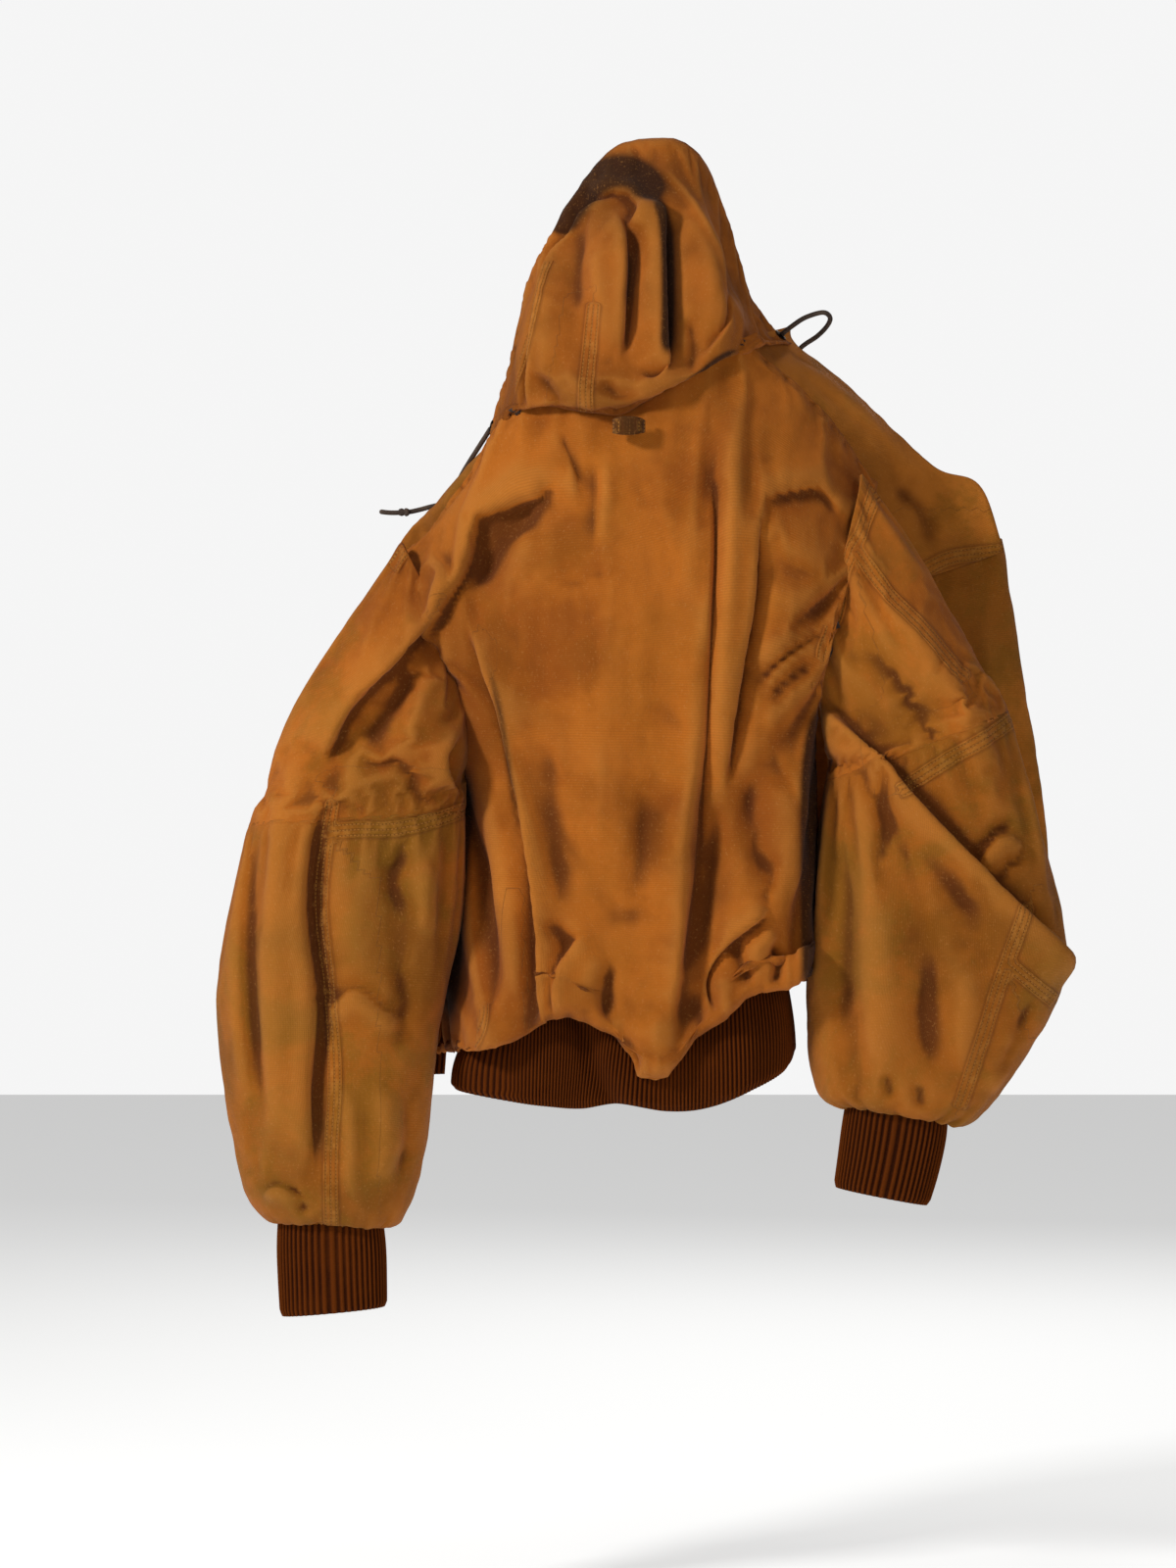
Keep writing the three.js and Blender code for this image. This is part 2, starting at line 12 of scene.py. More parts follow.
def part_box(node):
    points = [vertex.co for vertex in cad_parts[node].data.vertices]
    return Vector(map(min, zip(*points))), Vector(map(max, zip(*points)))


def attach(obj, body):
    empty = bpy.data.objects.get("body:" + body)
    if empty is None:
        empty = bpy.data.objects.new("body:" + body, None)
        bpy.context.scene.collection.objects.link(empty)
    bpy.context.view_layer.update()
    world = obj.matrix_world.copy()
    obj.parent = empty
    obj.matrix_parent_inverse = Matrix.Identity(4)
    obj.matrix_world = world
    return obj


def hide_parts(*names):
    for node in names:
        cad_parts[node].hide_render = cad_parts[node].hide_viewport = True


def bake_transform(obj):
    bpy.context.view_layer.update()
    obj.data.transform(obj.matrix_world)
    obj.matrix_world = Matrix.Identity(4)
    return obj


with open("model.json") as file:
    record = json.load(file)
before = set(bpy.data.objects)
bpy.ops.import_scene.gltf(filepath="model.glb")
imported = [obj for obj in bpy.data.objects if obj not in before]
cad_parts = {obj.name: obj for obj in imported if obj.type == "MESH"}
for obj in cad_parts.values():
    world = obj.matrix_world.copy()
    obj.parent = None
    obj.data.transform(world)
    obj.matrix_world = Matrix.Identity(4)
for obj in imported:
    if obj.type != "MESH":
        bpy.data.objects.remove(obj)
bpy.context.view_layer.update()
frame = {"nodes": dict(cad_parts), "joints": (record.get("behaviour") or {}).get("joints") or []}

bl_info = {
    "name": "Hooded Canvas Work Jacket",
    "version": (1, 0, 0),
    "blender": (4, 5, 0),
    "location": "View3D > Sidebar > Jacket",
    "description": "Builds a draped canvas work jacket with ribs, drawcord and zip",
    "category": "Object",
}

MM = 0.001


# ---------------------------------------------------------------- settings
class JacketSizes(bpy.types.PropertyGroup):
    """Sizes that a maker would change."""

    cell: bpy.props.FloatProperty(
        name="Cloth cell", description="Spacing of the cloth mesh", default=0.004, unit="LENGTH")
    canvas: bpy.props.FloatProperty(
        name="Canvas thickness", description="Canvas with its wadding", default=0.0026, unit="LENGTH")
    lining: bpy.props.FloatProperty(
        name="Lining thickness", description="Quilted lining", default=0.0016, unit="LENGTH")
    rib_pitch: bpy.props.FloatProperty(
        name="Rib pitch", description="From one knitted rib to the next", default=0.0042, unit="LENGTH")
    rib_height: bpy.props.FloatProperty(
        name="Rib height", description="How far a rib stands up", default=0.0009, unit="LENGTH")
    cord: bpy.props.FloatProperty(
        name="Cord diameter", description="Braided drawcord", default=0.0046, unit="LENGTH")
    crumple: bpy.props.FloatProperty(
        name="Crumple", description="Height of the small creases of washed canvas", default=0.0011,
        unit="LENGTH")


class JacketColours(bpy.types.PropertyGroup):
    """Colours as sRGB hex values."""

    canvas: bpy.props.StringProperty(name="Canvas", description="Washed duck canvas", default="b4641a")
    canvas_shade: bpy.props.StringProperty(
        name="Canvas, worn in", description="The darker patches of the canvas", default="934c0e")
    stain: bpy.props.StringProperty(
        name="Stain", description="Olive tint of the handled sleeves", default="7a5410")
    lining: bpy.props.StringProperty(name="Lining", description="Quilted lining", default="2b2019")
    rib: bpy.props.StringProperty(name="Rib knit", description="Cuffs and waistband", default="5e2b07")
    thread: bpy.props.StringProperty(name="Thread", description="Seam thread", default="a8702c")
    cord: bpy.props.StringProperty(name="Cord", description="Drawcord", default="4a3a30")
    brass: bpy.props.StringProperty(name="Brass", description="Zip metal", default="8c6c3a")
    eyelet: bpy.props.StringProperty(name="Eyelet", description="Blackened eyelets", default="241d19")


def sizes():
    return bpy.context.scene.jacket_sizes


def colours():
    return bpy.context.scene.jacket_colours


# ---------------------------------------------------------------- smooth runs and surfaces
def run(points, t):
    """Smooth run through evenly numbered points; points is (n, ...) and t is (k,) from 0 to 1."""
    p = np.asarray(points, float)
    n = len(p) - 1
    x = np.clip(t, 0, 1) * n
    i = np.minimum(x.astype(int), n - 1)
    f = (x - i).reshape((-1,) + (1,) * (p.ndim - 1))
    ends = np.concatenate([[2 * p[0] - p[1]], p, [2 * p[-1] - p[-2]]])
    a, b, c, d = ends[i], ends[i + 1], ends[i + 2], ends[i + 3]
    m0, m1 = (c - a) / 2, (d - b) / 2
    return ((2 * f**3 - 3 * f**2 + 1) * b + (f**3 - 2 * f**2 + f) * m0
            + (3 * f**2 - 2 * f**3) * c + (f**3 - f**2) * m1)


def surface(rows):
    """A surface through rows of points in millimetres: u along a row, v from the first row on."""
    def at(u, v):
        across = np.stack([run(row, u) for row in rows])
        n = len(rows) - 1
        x = np.clip(v, 0, 1) * n
        i = np.minimum(x.astype(int), n - 1)
        f = (x - i)[:, None]
        ends = np.concatenate([[2 * across[0] - across[1]], across, [2 * across[-1] - across[-2]]])
        k = np.arange(len(u))
        a, b, c, d = ends[i, k], ends[i + 1, k], ends[i + 2, k], ends[i + 3, k]
        m0, m1 = (c - a) / 2, (d - b) / 2
        return ((2 * f**3 - 3 * f**2 + 1) * b + (f**3 - 2 * f**2 + f) * m0
                + (3 * f**2 - 2 * f**3) * c + (f**3 - f**2) * m1)
    return at


def tube(stations, squareness=0.9):
    """A tube of cloth through stations [x body side, z, x outer side, z, middle y, half depth]."""
    s = np.array(stations, float)

    def at(u, v):
        r = run(s, v)
        inner = np.stack([r[:, 0], r[:, 4], r[:, 1]], 1)
        outer = np.stack([r[:, 2], r[:, 4], r[:, 3]], 1)
        middle, half = (inner + outer) / 2, (outer - inner) / 2
        a = 2 * np.pi * u
        ca, sa = np.cos(a), np.sin(a)
        ca = np.sign(ca) * np.abs(ca) ** squareness
        sa = np.sign(sa) * np.abs(sa) ** squareness
        p = middle + half * ca[:, None]
        p[:, 1] += r[:, 5] * sa
        return p
    return at


def normals_of(at, u, v):
    e = 0.002
    du = at(np.minimum(u + e, 1), v) - at(np.maximum(u - e, 0), v)
    dv = at(u, np.minimum(v + e, 1)) - at(u, np.maximum(v - e, 0))
    n = np.cross(du, dv)
    return n / np.maximum(np.linalg.norm(n, axis=1), 1e-9)[:, None]


def smooth(x, a, b):
    t = np.clip((x - a) / (b - a), 0, 1)
    return t * t * (3 - 2 * t)


# ---------------------------------------------------------------- folds
class Path:
    """A line drawn on the cloth as seen from the back, through (x, z) points in millimetres."""

    def __init__(self, points, step=4.0):
        p = np.array(points, float)
        fine = run(p, np.linspace(0, 1, 24 * (len(p) - 1) + 1))
        along = np.concatenate([[0], np.cumsum(np.linalg.norm(np.diff(fine, axis=0), axis=1))])
        self.length = along[-1]
        at = np.linspace(0, self.length, max(3, int(self.length / step)))
        self.at = at
        self.line = np.stack([np.interp(at, along, fine[:, k]) for k in range(2)], 1)
        d = np.gradient(self.line, axis=0)
        self.way = d / np.linalg.norm(d, axis=1)[:, None]

    def measure(self, xz, reach):
        """Signed distance from the line, right of its way positive, and length along it."""
        lo, hi = self.line.min(0) - reach, self.line.max(0) + reach
        near = np.flatnonzero(((xz > lo) & (xz < hi)).all(1))
        if not len(near):
            return near, near, near
        d2 = ((xz[near][:, None] - self.line[None]) ** 2).sum(2)
        i = d2.argmin(1)
        rel = xz[near] - self.line[i]
        way = self.way[i]
        off = rel[:, 0] * -way[:, 1] + rel[:, 1] * way[:, 0]
        fwd = (rel * way).sum(1)
        ends = ((i == 0) & (fwd < 0)) | ((i == len(self.at) - 1) & (fwd > 0))
        dist = np.where(ends, np.sqrt(d2[np.arange(len(near)), i]), np.abs(off)) * np.sign(-off)
        return near, dist, self.at[i] + fwd


def fold(kind, points, wide, high, fade=0.25, over=0.0):
    """One fold: kind is ridge, valley or lip. A lip stands up on the left of its line and drops, and
    hangs over the hollow on its right by over millimetres."""
    return kind, Path(points), wide, high, fade, over


def fold_height(folds, xz):
    """Height of the folds at each point, and how far each is carried sideways in x and z."""
    h = np.zeros(len(xz))
    side = np.zeros((len(xz), 2))
    for kind, path, wide, high, fade, over in folds:
        near, d, s = path.measure(xz, wide * 3.2)
        if not len(near):
            continue
        t = s / path.length
        ends = smooth(t, -0.02, fade) * smooth(-t, -1.02, -1 + fade)
        if kind == "lip":
            drop = 9.0
            up = np.where(d < 0, np.exp(-(np.abs(d) / wide) ** 1.4), 1 - smooth(d, 0, drop))
            under = np.where(d > 0, smooth(d, 0, drop) * np.exp(-np.maximum(d - drop, 0) / (wide * 0.8)), 0)
            shape = up - 0.6 * under
            carry = np.where(d < 0, np.exp(-(np.abs(d) / (wide * 0.7)) ** 1.3),
                             1 - 1.5 * smooth(d, 0, drop) + 0.5 * smooth(d, drop, drop * 2.5))
            i = ((xz[near][:, None] - path.line[None]) ** 2).sum(2).argmin(1)
            way = path.way[i]
            side[near] += (over * ends * carry)[:, None] * np.stack([way[:, 1], -way[:, 0]], 1)
        else:
            shape = np.exp(-(np.abs(d) / wide) ** 1.8) * (1 if kind == "ridge" else -1)
        h[near] += high * ends * shape
    return h, side


def folded(p, n, folds, share, extra):
    """Points pushed out by their folds; share is how much of them each point takes."""
    h, side = fold_height(folds, p[:, [0, 2]])
    q = p + n * (h * share + extra)[:, None]
    q[:, 0] += side[:, 0] * share
    q[:, 2] += side[:, 1] * share
    return q


def crumple(p, amount, seed=0.0, scale=1.0):
    """Small creases of washed canvas: ridged noise, longer than wide."""
    out = np.empty(len(p))
    for k, (x, y, z) in enumerate(p):
        a = noise.noise(Vector((x * 0.021 * scale + seed, y * 0.021 * scale, z * 0.012 * scale)))
        b = noise.noise(Vector((x * 0.055 * scale, y * 0.055 * scale + seed, z * 0.03 * scale + 2 * a)))
        c = noise.noise(Vector((x * 0.12 * scale + a, y * 0.12 * scale, z * 0.09 * scale + seed)))
        out[k] = (1 - 2 * abs(a)) * 1.1 + (1 - 2.4 * abs(b)) * 0.8 + c * 0.45 - 1.0
    return out * amount


# ---------------------------------------------------------------- meshes
def cloth_object(name, at, nu, nv, flat, close=False, outward=None, shape=None, seams=(), thick=None,
                 offset=-1.0, soften=2):
    """Lays a grid on a surface, pushes its folds out and gives it a wall.

    shape(u, v, p, n) returns new points. seams are Paths drawn as stitched bands."""
    bm = bmesh.new()
    bmesh.ops.create_grid(bm, x_segments=nu, y_segments=nv, size=0.5)
    uv = np.array([v.co[:2] for v in bm.verts]) + 0.5
    u, v = uv[:, 0], uv[:, 1]
    p = at(u, v)
    n = normals_of(at, u, v)
    if close:
        n = normals_closed(at, u, v)
    sign = outward(p, n) if outward is not None else 1.0
    n = n * sign
    q = shape(u, v, p, n) if shape is not None else p
    layer = bm.loops.layers.uv.new("UVMap")
    bm.verts.ensure_lookup_table()
    for vert, co in zip(bm.verts, q):
        vert.co = co * MM
    bm.verts.index_update()
    bm.normal_update()
    # The faces of a laid grid all point one way, so one vote turns the whole sheet outwards.
    vote = 0.0
    for face in bm.faces:
        vote += face.normal.dot(n[face.verts[0].index]) * face.calc_area()
        for loop in face.loops:
            i = loop.vert.index
            loop[layer].uv = (u[i] * flat[0], v[i] * flat[1])
    sd = bm.verts.layers.float.new("seam_off")
    ss = bm.verts.layers.float.new("seam_along")
    sr = bm.verts.layers.float.new("relief")
    off, along = seam_fields(q, seams)
    for vert, a, b, c in zip(bm.verts, off, along, ((q - p) * n).sum(1)):
        vert[sd], vert[ss], vert[sr] = a, b, c
    if close:
        bmesh.ops.remove_doubles(bm, verts=bm.verts, dist=1e-5)
    inner = [v for v in bm.verts if not v.is_boundary]
    for _ in range(soften):
        bmesh.ops.smooth_vert(bm, verts=inner, factor=0.5, use_axis_x=True, use_axis_y=True, use_axis_z=True)
    mesh = bpy.data.meshes.new(name)
    if vote < 0:
        bmesh.ops.reverse_faces(bm, faces=bm.faces)
    for f in bm.faces:
        f.smooth = True
    bm.to_mesh(mesh)
    bm.free()
    ob = bpy.data.objects.new(name, mesh)
    bpy.context.scene.collection.objects.link(ob)
    if thick:
        wall = ob.modifiers.new("Wall", "SOLIDIFY")
        wall.thickness = thick
        wall.offset = offset
        wall.use_even_offset = False
        wall.use_quality_normals = True
    return ob


def settle(ob, held, grow=0.05, frames=18, cap=10.0, bend=4.0, keep=0.02, weights=None):
    """Lets a sheet that is a little too big for its place buckle, as washed canvas does.

    held gives 1 for points that are sewn down. The rest is drawn softly to where it was by keep,
    and no point moves further than about cap millimetres."""
    scene = bpy.context.scene
    mesh = ob.data
    count = len(mesh.vertices)
    before = np.empty(count * 3, np.float32)
    mesh.vertices.foreach_get("co", before)
    others = [m for m in ob.modifiers]
    for m in others:
        m.show_viewport = False
    group = ob.vertex_groups.new(name="held")
    size = np.maximum(held, keep)
    for level in np.unique(np.round(size, 2)):
        group.add(np.flatnonzero(np.round(size, 2) == level).tolist(), float(level), "REPLACE")
    cloth = ob.modifiers.new("Cloth", "CLOTH")
    ob.modifiers.move(len(ob.modifiers) - 1, 0)
    s = cloth.settings
    s.quality = 5
    s.mass = 0.25
    s.tension_stiffness = s.compression_stiffness = 18
    s.shear_stiffness = 6
    s.bending_stiffness = bend
    s.tension_damping = s.compression_damping = s.shear_damping = 12
    s.bending_damping = 1.0
    s.air_damping = 6
    s.vertex_group_mass = "held"
    s.pin_stiffness = 1.0
    s.shrink_min = -grow
    s.effector_weights.gravity = 0.15
    cloth.collision_settings.use_collision = False
    cloth.collision_settings.use_self_collision = False
    cloth.point_cache.frame_start, cloth.point_cache.frame_end = 1, frames
    for frame_at in range(1, frames + 1):
        scene.frame_set(frame_at)
    after = np.empty(count * 3, np.float32)
    done = ob.evaluated_get(bpy.context.evaluated_depsgraph_get())
    done.data.vertices.foreach_get("co", after)
    before, after = before.reshape(-1, 3), after.reshape(-1, 3)
    move = after - before
    far = np.linalg.norm(move, axis=1)[:, None] / MM
    move *= cap * np.tanh(far / cap) / np.maximum(far, 1e-6)
    ob.modifiers.remove(cloth)
    ob.vertex_groups.remove(group)
    mesh.vertices.foreach_set("co", (before + move).astype(np.float32).ravel())
    mesh.update()
    for m in others:
        m.show_viewport = True
    scene.frame_set(1)
    print("SETTLED", ob.name, count, round(float(far.mean()), 2), round(float(far.max()), 2))


def lined(shell, name, inset, keep=(0.0, 1.0), thick=0.0016, across=0.0):
    """A lining inset millimetres inside its canvas; keep is its range along v, across its end gaps."""
    mesh = shell.data.copy()
    mesh.name = name
    bm = bmesh.new()
    bm.from_mesh(mesh)
    bm.normal_update()
    layer = bm.loops.layers.uv[0]
    tall = max(loop[layer].uv.y for f in bm.faces for loop in f.loops)
    wide = max(loop[layer].uv.x for f in bm.faces for loop in f.loops)
    for _ in range(6):
        bmesh.ops.smooth_vert(bm, verts=[v for v in bm.verts if not v.is_boundary], factor=0.5,
                              use_axis_x=True, use_axis_y=True, use_axis_z=True)
    bm.normal_update()
    normals = [v.normal.copy() for v in bm.verts]
    for vert, n in zip(bm.verts, normals):
        vert.co -= n * inset * MM
    # Where a fold is tighter than the inset, the lining is pushed back behind the canvas.
    outside = BVHTree.FromPolygons([v.co.copy() for v in shell.data.vertices],
                                   [tuple(f.vertices) for f in shell.data.polygons])
    clear = inset * MM * 0.8
    for _ in range(2):
        for vert in bm.verts:
            point, normal, _, _ = outside.find_nearest(vert.co)
            short = clear + (vert.co - point).dot(normal)
            if short > 0:
                vert.co -= normal * short
    away = []
    for f in bm.faces:
        x = sum(l[layer].uv.x for l in f.loops) / len(f.loops) / wide
        y = sum(l[layer].uv.y for l in f.loops) / len(f.loops) / tall
        if not (keep[0] <= y <= keep[1] and across <= x <= 1 - across):
            away.append(f)
    bmesh.ops.delete(bm, geom=away, context="FACES")
    bm.to_mesh(mesh)
    bm.free()
    ob = bpy.data.objects.new(name, mesh)
    bpy.context.scene.collection.objects.link(ob)
    wall = ob.modifiers.new("Wall", "SOLIDIFY")
    wall.thickness = thick
    wall.offset = -1.0
    wall.use_even_offset = False
    wall.use_quality_normals = True
    return ob


def part_of(at, v0, v1):
    """The stretch of a surface from v0 to v1."""
    return lambda u, v: at(u, v0 + (v1 - v0) * v)


def store_relief_for_shade_and_fading(ob):
    """Stores how far each point stands out from its surroundings, which the canvas material turns into painted shade
    where it lies low and fading from wear where it stands out.
    """
    mesh = ob.data
    count = len(mesh.vertices)
    co = np.empty(count * 3, np.float32)
    mesh.vertices.foreach_get("co", co)
    co = co.reshape(-1, 3).astype(float)
    normal = np.empty(count * 3, np.float32)
    mesh.vertex_normals.foreach_get("vector", normal)
    normal = normal.reshape(-1, 3)
    ends = np.empty(len(mesh.edges) * 2, np.int32)
    mesh.edges.foreach_get("vertices", ends)
    a, b = ends[0::2], ends[1::2]
    degree = np.bincount(ends, minlength=count)[:, None]

    def softened(times):
        q = co.copy()
        for _ in range(times):
            total = np.stack([np.bincount(a, q[b, k], count) + np.bincount(b, q[a, k], count)
                              for k in range(3)], 1)
            q = 0.3 * q + 0.7 * total / degree
        return ((co - q) * normal).sum(1) / MM

    value = softened(60) * 1.0 + softened(6) * 4.0
    mesh.attributes["relief"].data.foreach_set("value", value.astype(np.float32))


def paint_shadows(ob, folds):
    """Stores how much painted shadow each point of a piece takes, from 0 to 1, along the listed valleys."""
    mesh = ob.data
    co = np.empty(len(mesh.vertices) * 3, np.float32)
    mesh.vertices.foreach_get("co", co)
    co = co.reshape(-1, 3).astype(float) / MM
    depth = np.clip(-fold_height(built(folds), co[:, [0, 2]])[0], 0, 1)
    mesh.attributes.new("hollow", "FLOAT", "POINT").data.foreach_set("value", depth.astype(np.float32))


def edges_held(ob, flat, left=True, right=True, top=True, bottom=True, wide=0.012):
    """1 along the chosen edges of a laid sheet, by its UVs, and 0 elsewhere."""
    mesh = ob.data
    uvs = np.zeros(len(mesh.loops) * 2, np.float32)
    mesh.uv_layers[0].data.foreach_get("uv", uvs)
    vert = np.zeros(len(mesh.loops), np.int32)
    mesh.loops.foreach_get("vertex_index", vert)
    u, v = np.zeros(len(mesh.vertices)), np.zeros(len(mesh.vertices))
    u[vert], v[vert] = uvs[0::2], uvs[1::2]
    out = np.zeros(len(mesh.vertices))
    for use, d in ((left, u), (right, flat[0] - u), (top, v), (bottom, flat[1] - v)):
        if use:
            out = np.maximum(out, 1 - smooth(d, wide * 0.4, wide))
    return out


def normals_closed(at, u, v):
    e = 0.002
    du = at((u + e) % 1.0, v) - at((u - e) % 1.0, v)
    dv = at(u, np.minimum(v + e, 1)) - at(u, np.maximum(v - e, 0))
    n = np.cross(du, dv)
    return n / np.maximum(np.linalg.norm(n, axis=1), 1e-9)[:, None]


def seam_fields(p, seams):
    """Nearest seam's signed distance and length along it, both in millimetres, for each point."""
    off = np.full(len(p), 60.0)
    along = np.zeros(len(p))
    for path, side in seams:
        near, d, s = path.measure(p[:, [0, 2]], 40.0)
        if not len(near):
            continue
        over = np.maximum(np.maximum(-s, s - path.length), 0)
        d = np.sign(d) * np.hypot(d, over * 3)
        use = np.abs(d) < np.abs(off[near])
        if side:
            use &= (p[near, 1] * side) > (np.median(p[:, 1]) * side)
        off[near[use]] = d[use]
        along[near[use]] = s[use]
    return off, along


def to_back(p, n):
    """Sign that turns a sheet's normals to face away from the wearer, towards -Y."""
    return -1.0 if n[:, 1].mean() > 0 else 1.0


def to_front(p, n):
    return -to_back(p, n)


def from_axis(p, n):
    c = p.mean(0)
    return 1.0 if ((p - c) * n).sum(1).mean() > 0 else -1.0


# ---------------------------------------------------------------- materials
def linear(code, alpha=1.0):
    """sRGB hex to a linear colour."""
    out = []
    for k in (0, 2, 4):
        c = int(code[k:k + 2], 16) / 255
        out.append(c / 12.92 if c <= 0.04045 else ((c + 0.055) / 1.055) ** 2.4)
    return (*out, alpha)


def add(tree, kind, settings=None, **links):
    """Adds a node: settings are its own fields, links are input values or sockets by name."""
    node = tree.nodes.new(kind)
    for key, value in (settings or {}).items():
        setattr(node, key, value)
    for key, value in links.items():
        socket = node.inputs[int(key[1:])] if key[0] == "i" and key[1:].isdigit() else next(
            s for s in node.inputs if s.name.replace(" ", "_") == key and s.enabled)
        if isinstance(value, bpy.types.NodeSocket):
            tree.links.new(value, socket)
        else:
            socket.default_value = value
    return node


def material(name):
    m = bpy.data.materials.new(name)
    m.use_nodes = True
    m.node_tree.nodes.clear()
    return m, m.node_tree


def math_node(tree, op, a, b=0.0, clamp=False):
    return add(tree, "ShaderNodeMath", {"operation": op, "use_clamp": clamp}, i0=a, i1=b).outputs[0]


def ranged(tree, value, low, high, to_low=0.0, to_high=1.0):
    return add(tree, "ShaderNodeMapRange", {"interpolation_type": "SMOOTHSTEP"},
               i0=value, i1=low, i2=high, i3=to_low, i4=to_high).outputs[0]


def mixed(tree, factor, a, b, blend="MIX"):
    node = add(tree, "ShaderNodeMix", {"data_type": "RGBA", "blend_type": blend})
    for k, value in ((0, factor), (6, a), (7, b)):
        if isinstance(value, bpy.types.NodeSocket):
            tree.links.new(value, node.inputs[k])
        else:
            node.inputs[k].default_value = value
    return node.outputs[2]


def canvas_material(name, tint, shade, stain_amount, seed, seamed=True):
    """Washed cotton duck: a plain weave of thick threads, dull, faded on its folds and seams, with painted shade
    where it lies low.
    """
    col = colours()
    m, t = material(name)
    place = add(t, "ShaderNodeTexCoord")
    flat = add(t, "ShaderNodeMapping", Vector=place.outputs["UV"], Scale=(1000, 1000, 1000))
    solid = add(t, "ShaderNodeMapping", Vector=place.outputs["Object"], Location=(seed, 0, 0))
    # Big soft patches where handling has darkened the cloth, about 120 mm across.
    patch = add(t, "ShaderNodeTexNoise", Vector=solid.outputs[0], Scale=7.0, Detail=4.0, Roughness=0.6)
    blotch = add(t, "ShaderNodeTexNoise", Vector=solid.outputs[0], Scale=26.0, Detail=5.0, Roughness=0.65)
    speck = add(t, "ShaderNodeTexNoise", Vector=solid.outputs[0], Scale=420.0, Detail=2.0, Roughness=0.7)
    # Threads of about 0.7 mm, drawn at 1.4 mm so that they show.
    warp = add(t, "ShaderNodeTexWave", {"bands_direction": "X"}, Vector=flat.outputs[0], Scale=0.36,
               Distortion=0.6, Detail=1.0)
    weft = add(t, "ShaderNodeTexWave", {"bands_direction": "Y"}, Vector=flat.outputs[0], Scale=0.3,
               Distortion=0.6, Detail=1.0)
    weave = math_node(t, "ADD", math_node(t, "MULTIPLY", warp.outputs[1], 0.5),
                      math_node(t, "MULTIPLY", weft.outputs[1], 0.5))
    base = mixed(t, ranged(t, patch.outputs[0], 0.42, 0.62), linear(tint), linear(shade))
    base = mixed(t, ranged(t, blotch.outputs[0], 0.5, 0.75, 0.0, 0.45), base, linear(shade))
    if stain_amount:
        where = add(t, "ShaderNodeTexNoise", Vector=solid.outputs[0], Scale=9.0, Detail=6.0, Roughness=0.7,
                    Distortion=0.4)
        base = mixed(t, ranged(t, where.outputs[0], 0.45, 0.62, 0.0, stain_amount), base, linear(col.stain))
    # Painted shade: what lies low is darkened towards a deep red-brown, and what stands out has faded from wear.
    relief = add(t, "ShaderNodeAttribute", {"attribute_name": "relief"}).outputs["Fac"]
    base = mixed(t, ranged(t, relief, 0.5, -13.0, 0.0, 0.8), base, linear("4a1f04"))
    base = mixed(t, ranged(t, relief, 0.0, 12.0, 0.0, 0.4), base, linear("bd7930"))
    # Painted shadow, nearly black, in the valleys listed for each piece.
    hollow = add(t, "ShaderNodeAttribute", {"attribute_name": "hollow"}).outputs["Fac"]
    base = mixed(t, ranged(t, hollow, 0.05, 0.8, 0.0, 0.9), base, linear("1c0b03"))
    # Undyed flecks in the threads.
    base = mixed(t, ranged(t, speck.outputs[0], 0.56, 0.75, 0.0, 0.25), base, linear("c98a48"))
    # Painted shade between the threads: the colour darkens where the weave lies low.
    base = mixed(t, ranged(t, weave, 0.2, 0.55, 0.22, 0.0), base, linear("5a3008"))
    height = math_node(t, "ADD", math_node(t, "MULTIPLY", weave, 0.25),
                       math_node(t, "MULTIPLY", speck.outputs[0], 0.25))
    pucker = add(t, "ShaderNodeTexNoise", Vector=solid.outputs[0], Scale=60.0, Detail=4.0, Roughness=0.55)
    height = math_node(t, "ADD", height, math_node(t, "MULTIPLY", pucker.outputs[0], 0.9))
    if seamed:
        off = add(t, "ShaderNodeAttribute", {"attribute_name": "seam_off"}).outputs["Fac"]
        along = add(t, "ShaderNodeAttribute", {"attribute_name": "seam_along"}).outputs["Fac"]
        # Three rows of stitches 4.8 mm apart on a folded band 13 mm wide.
        band = ranged(t, math_node(t, "ABSOLUTE", off), 6.2, 7.6, 1.0, 0.0)
        row = math_node(t, "PINGPONG", math_node(t, "ADD", off, 7.2 + 48), 2.4)
        groove = math_node(t, "MULTIPLY", ranged(t, row, 1.3, 2.3, 0.0, 1.0), band)
        dash = math_node(t, "PINGPONG", along, 1.7)
        thread = math_node(t, "MULTIPLY", math_node(t, "MULTIPLY", ranged(t, row, 1.75, 2.2), band),
                           ranged(t, dash, 0.35, 0.75))
        edge = math_node(t, "MULTIPLY", ranged(t, math_node(t, "ABSOLUTE", off), 6.6, 7.4),
                         ranged(t, math_node(t, "ABSOLUTE", off), 7.6, 10.5, 1.0, 0.0))
        fray = add(t, "ShaderNodeTexNoise", Vector=solid.outputs[0], Scale=130.0, Detail=3.0)
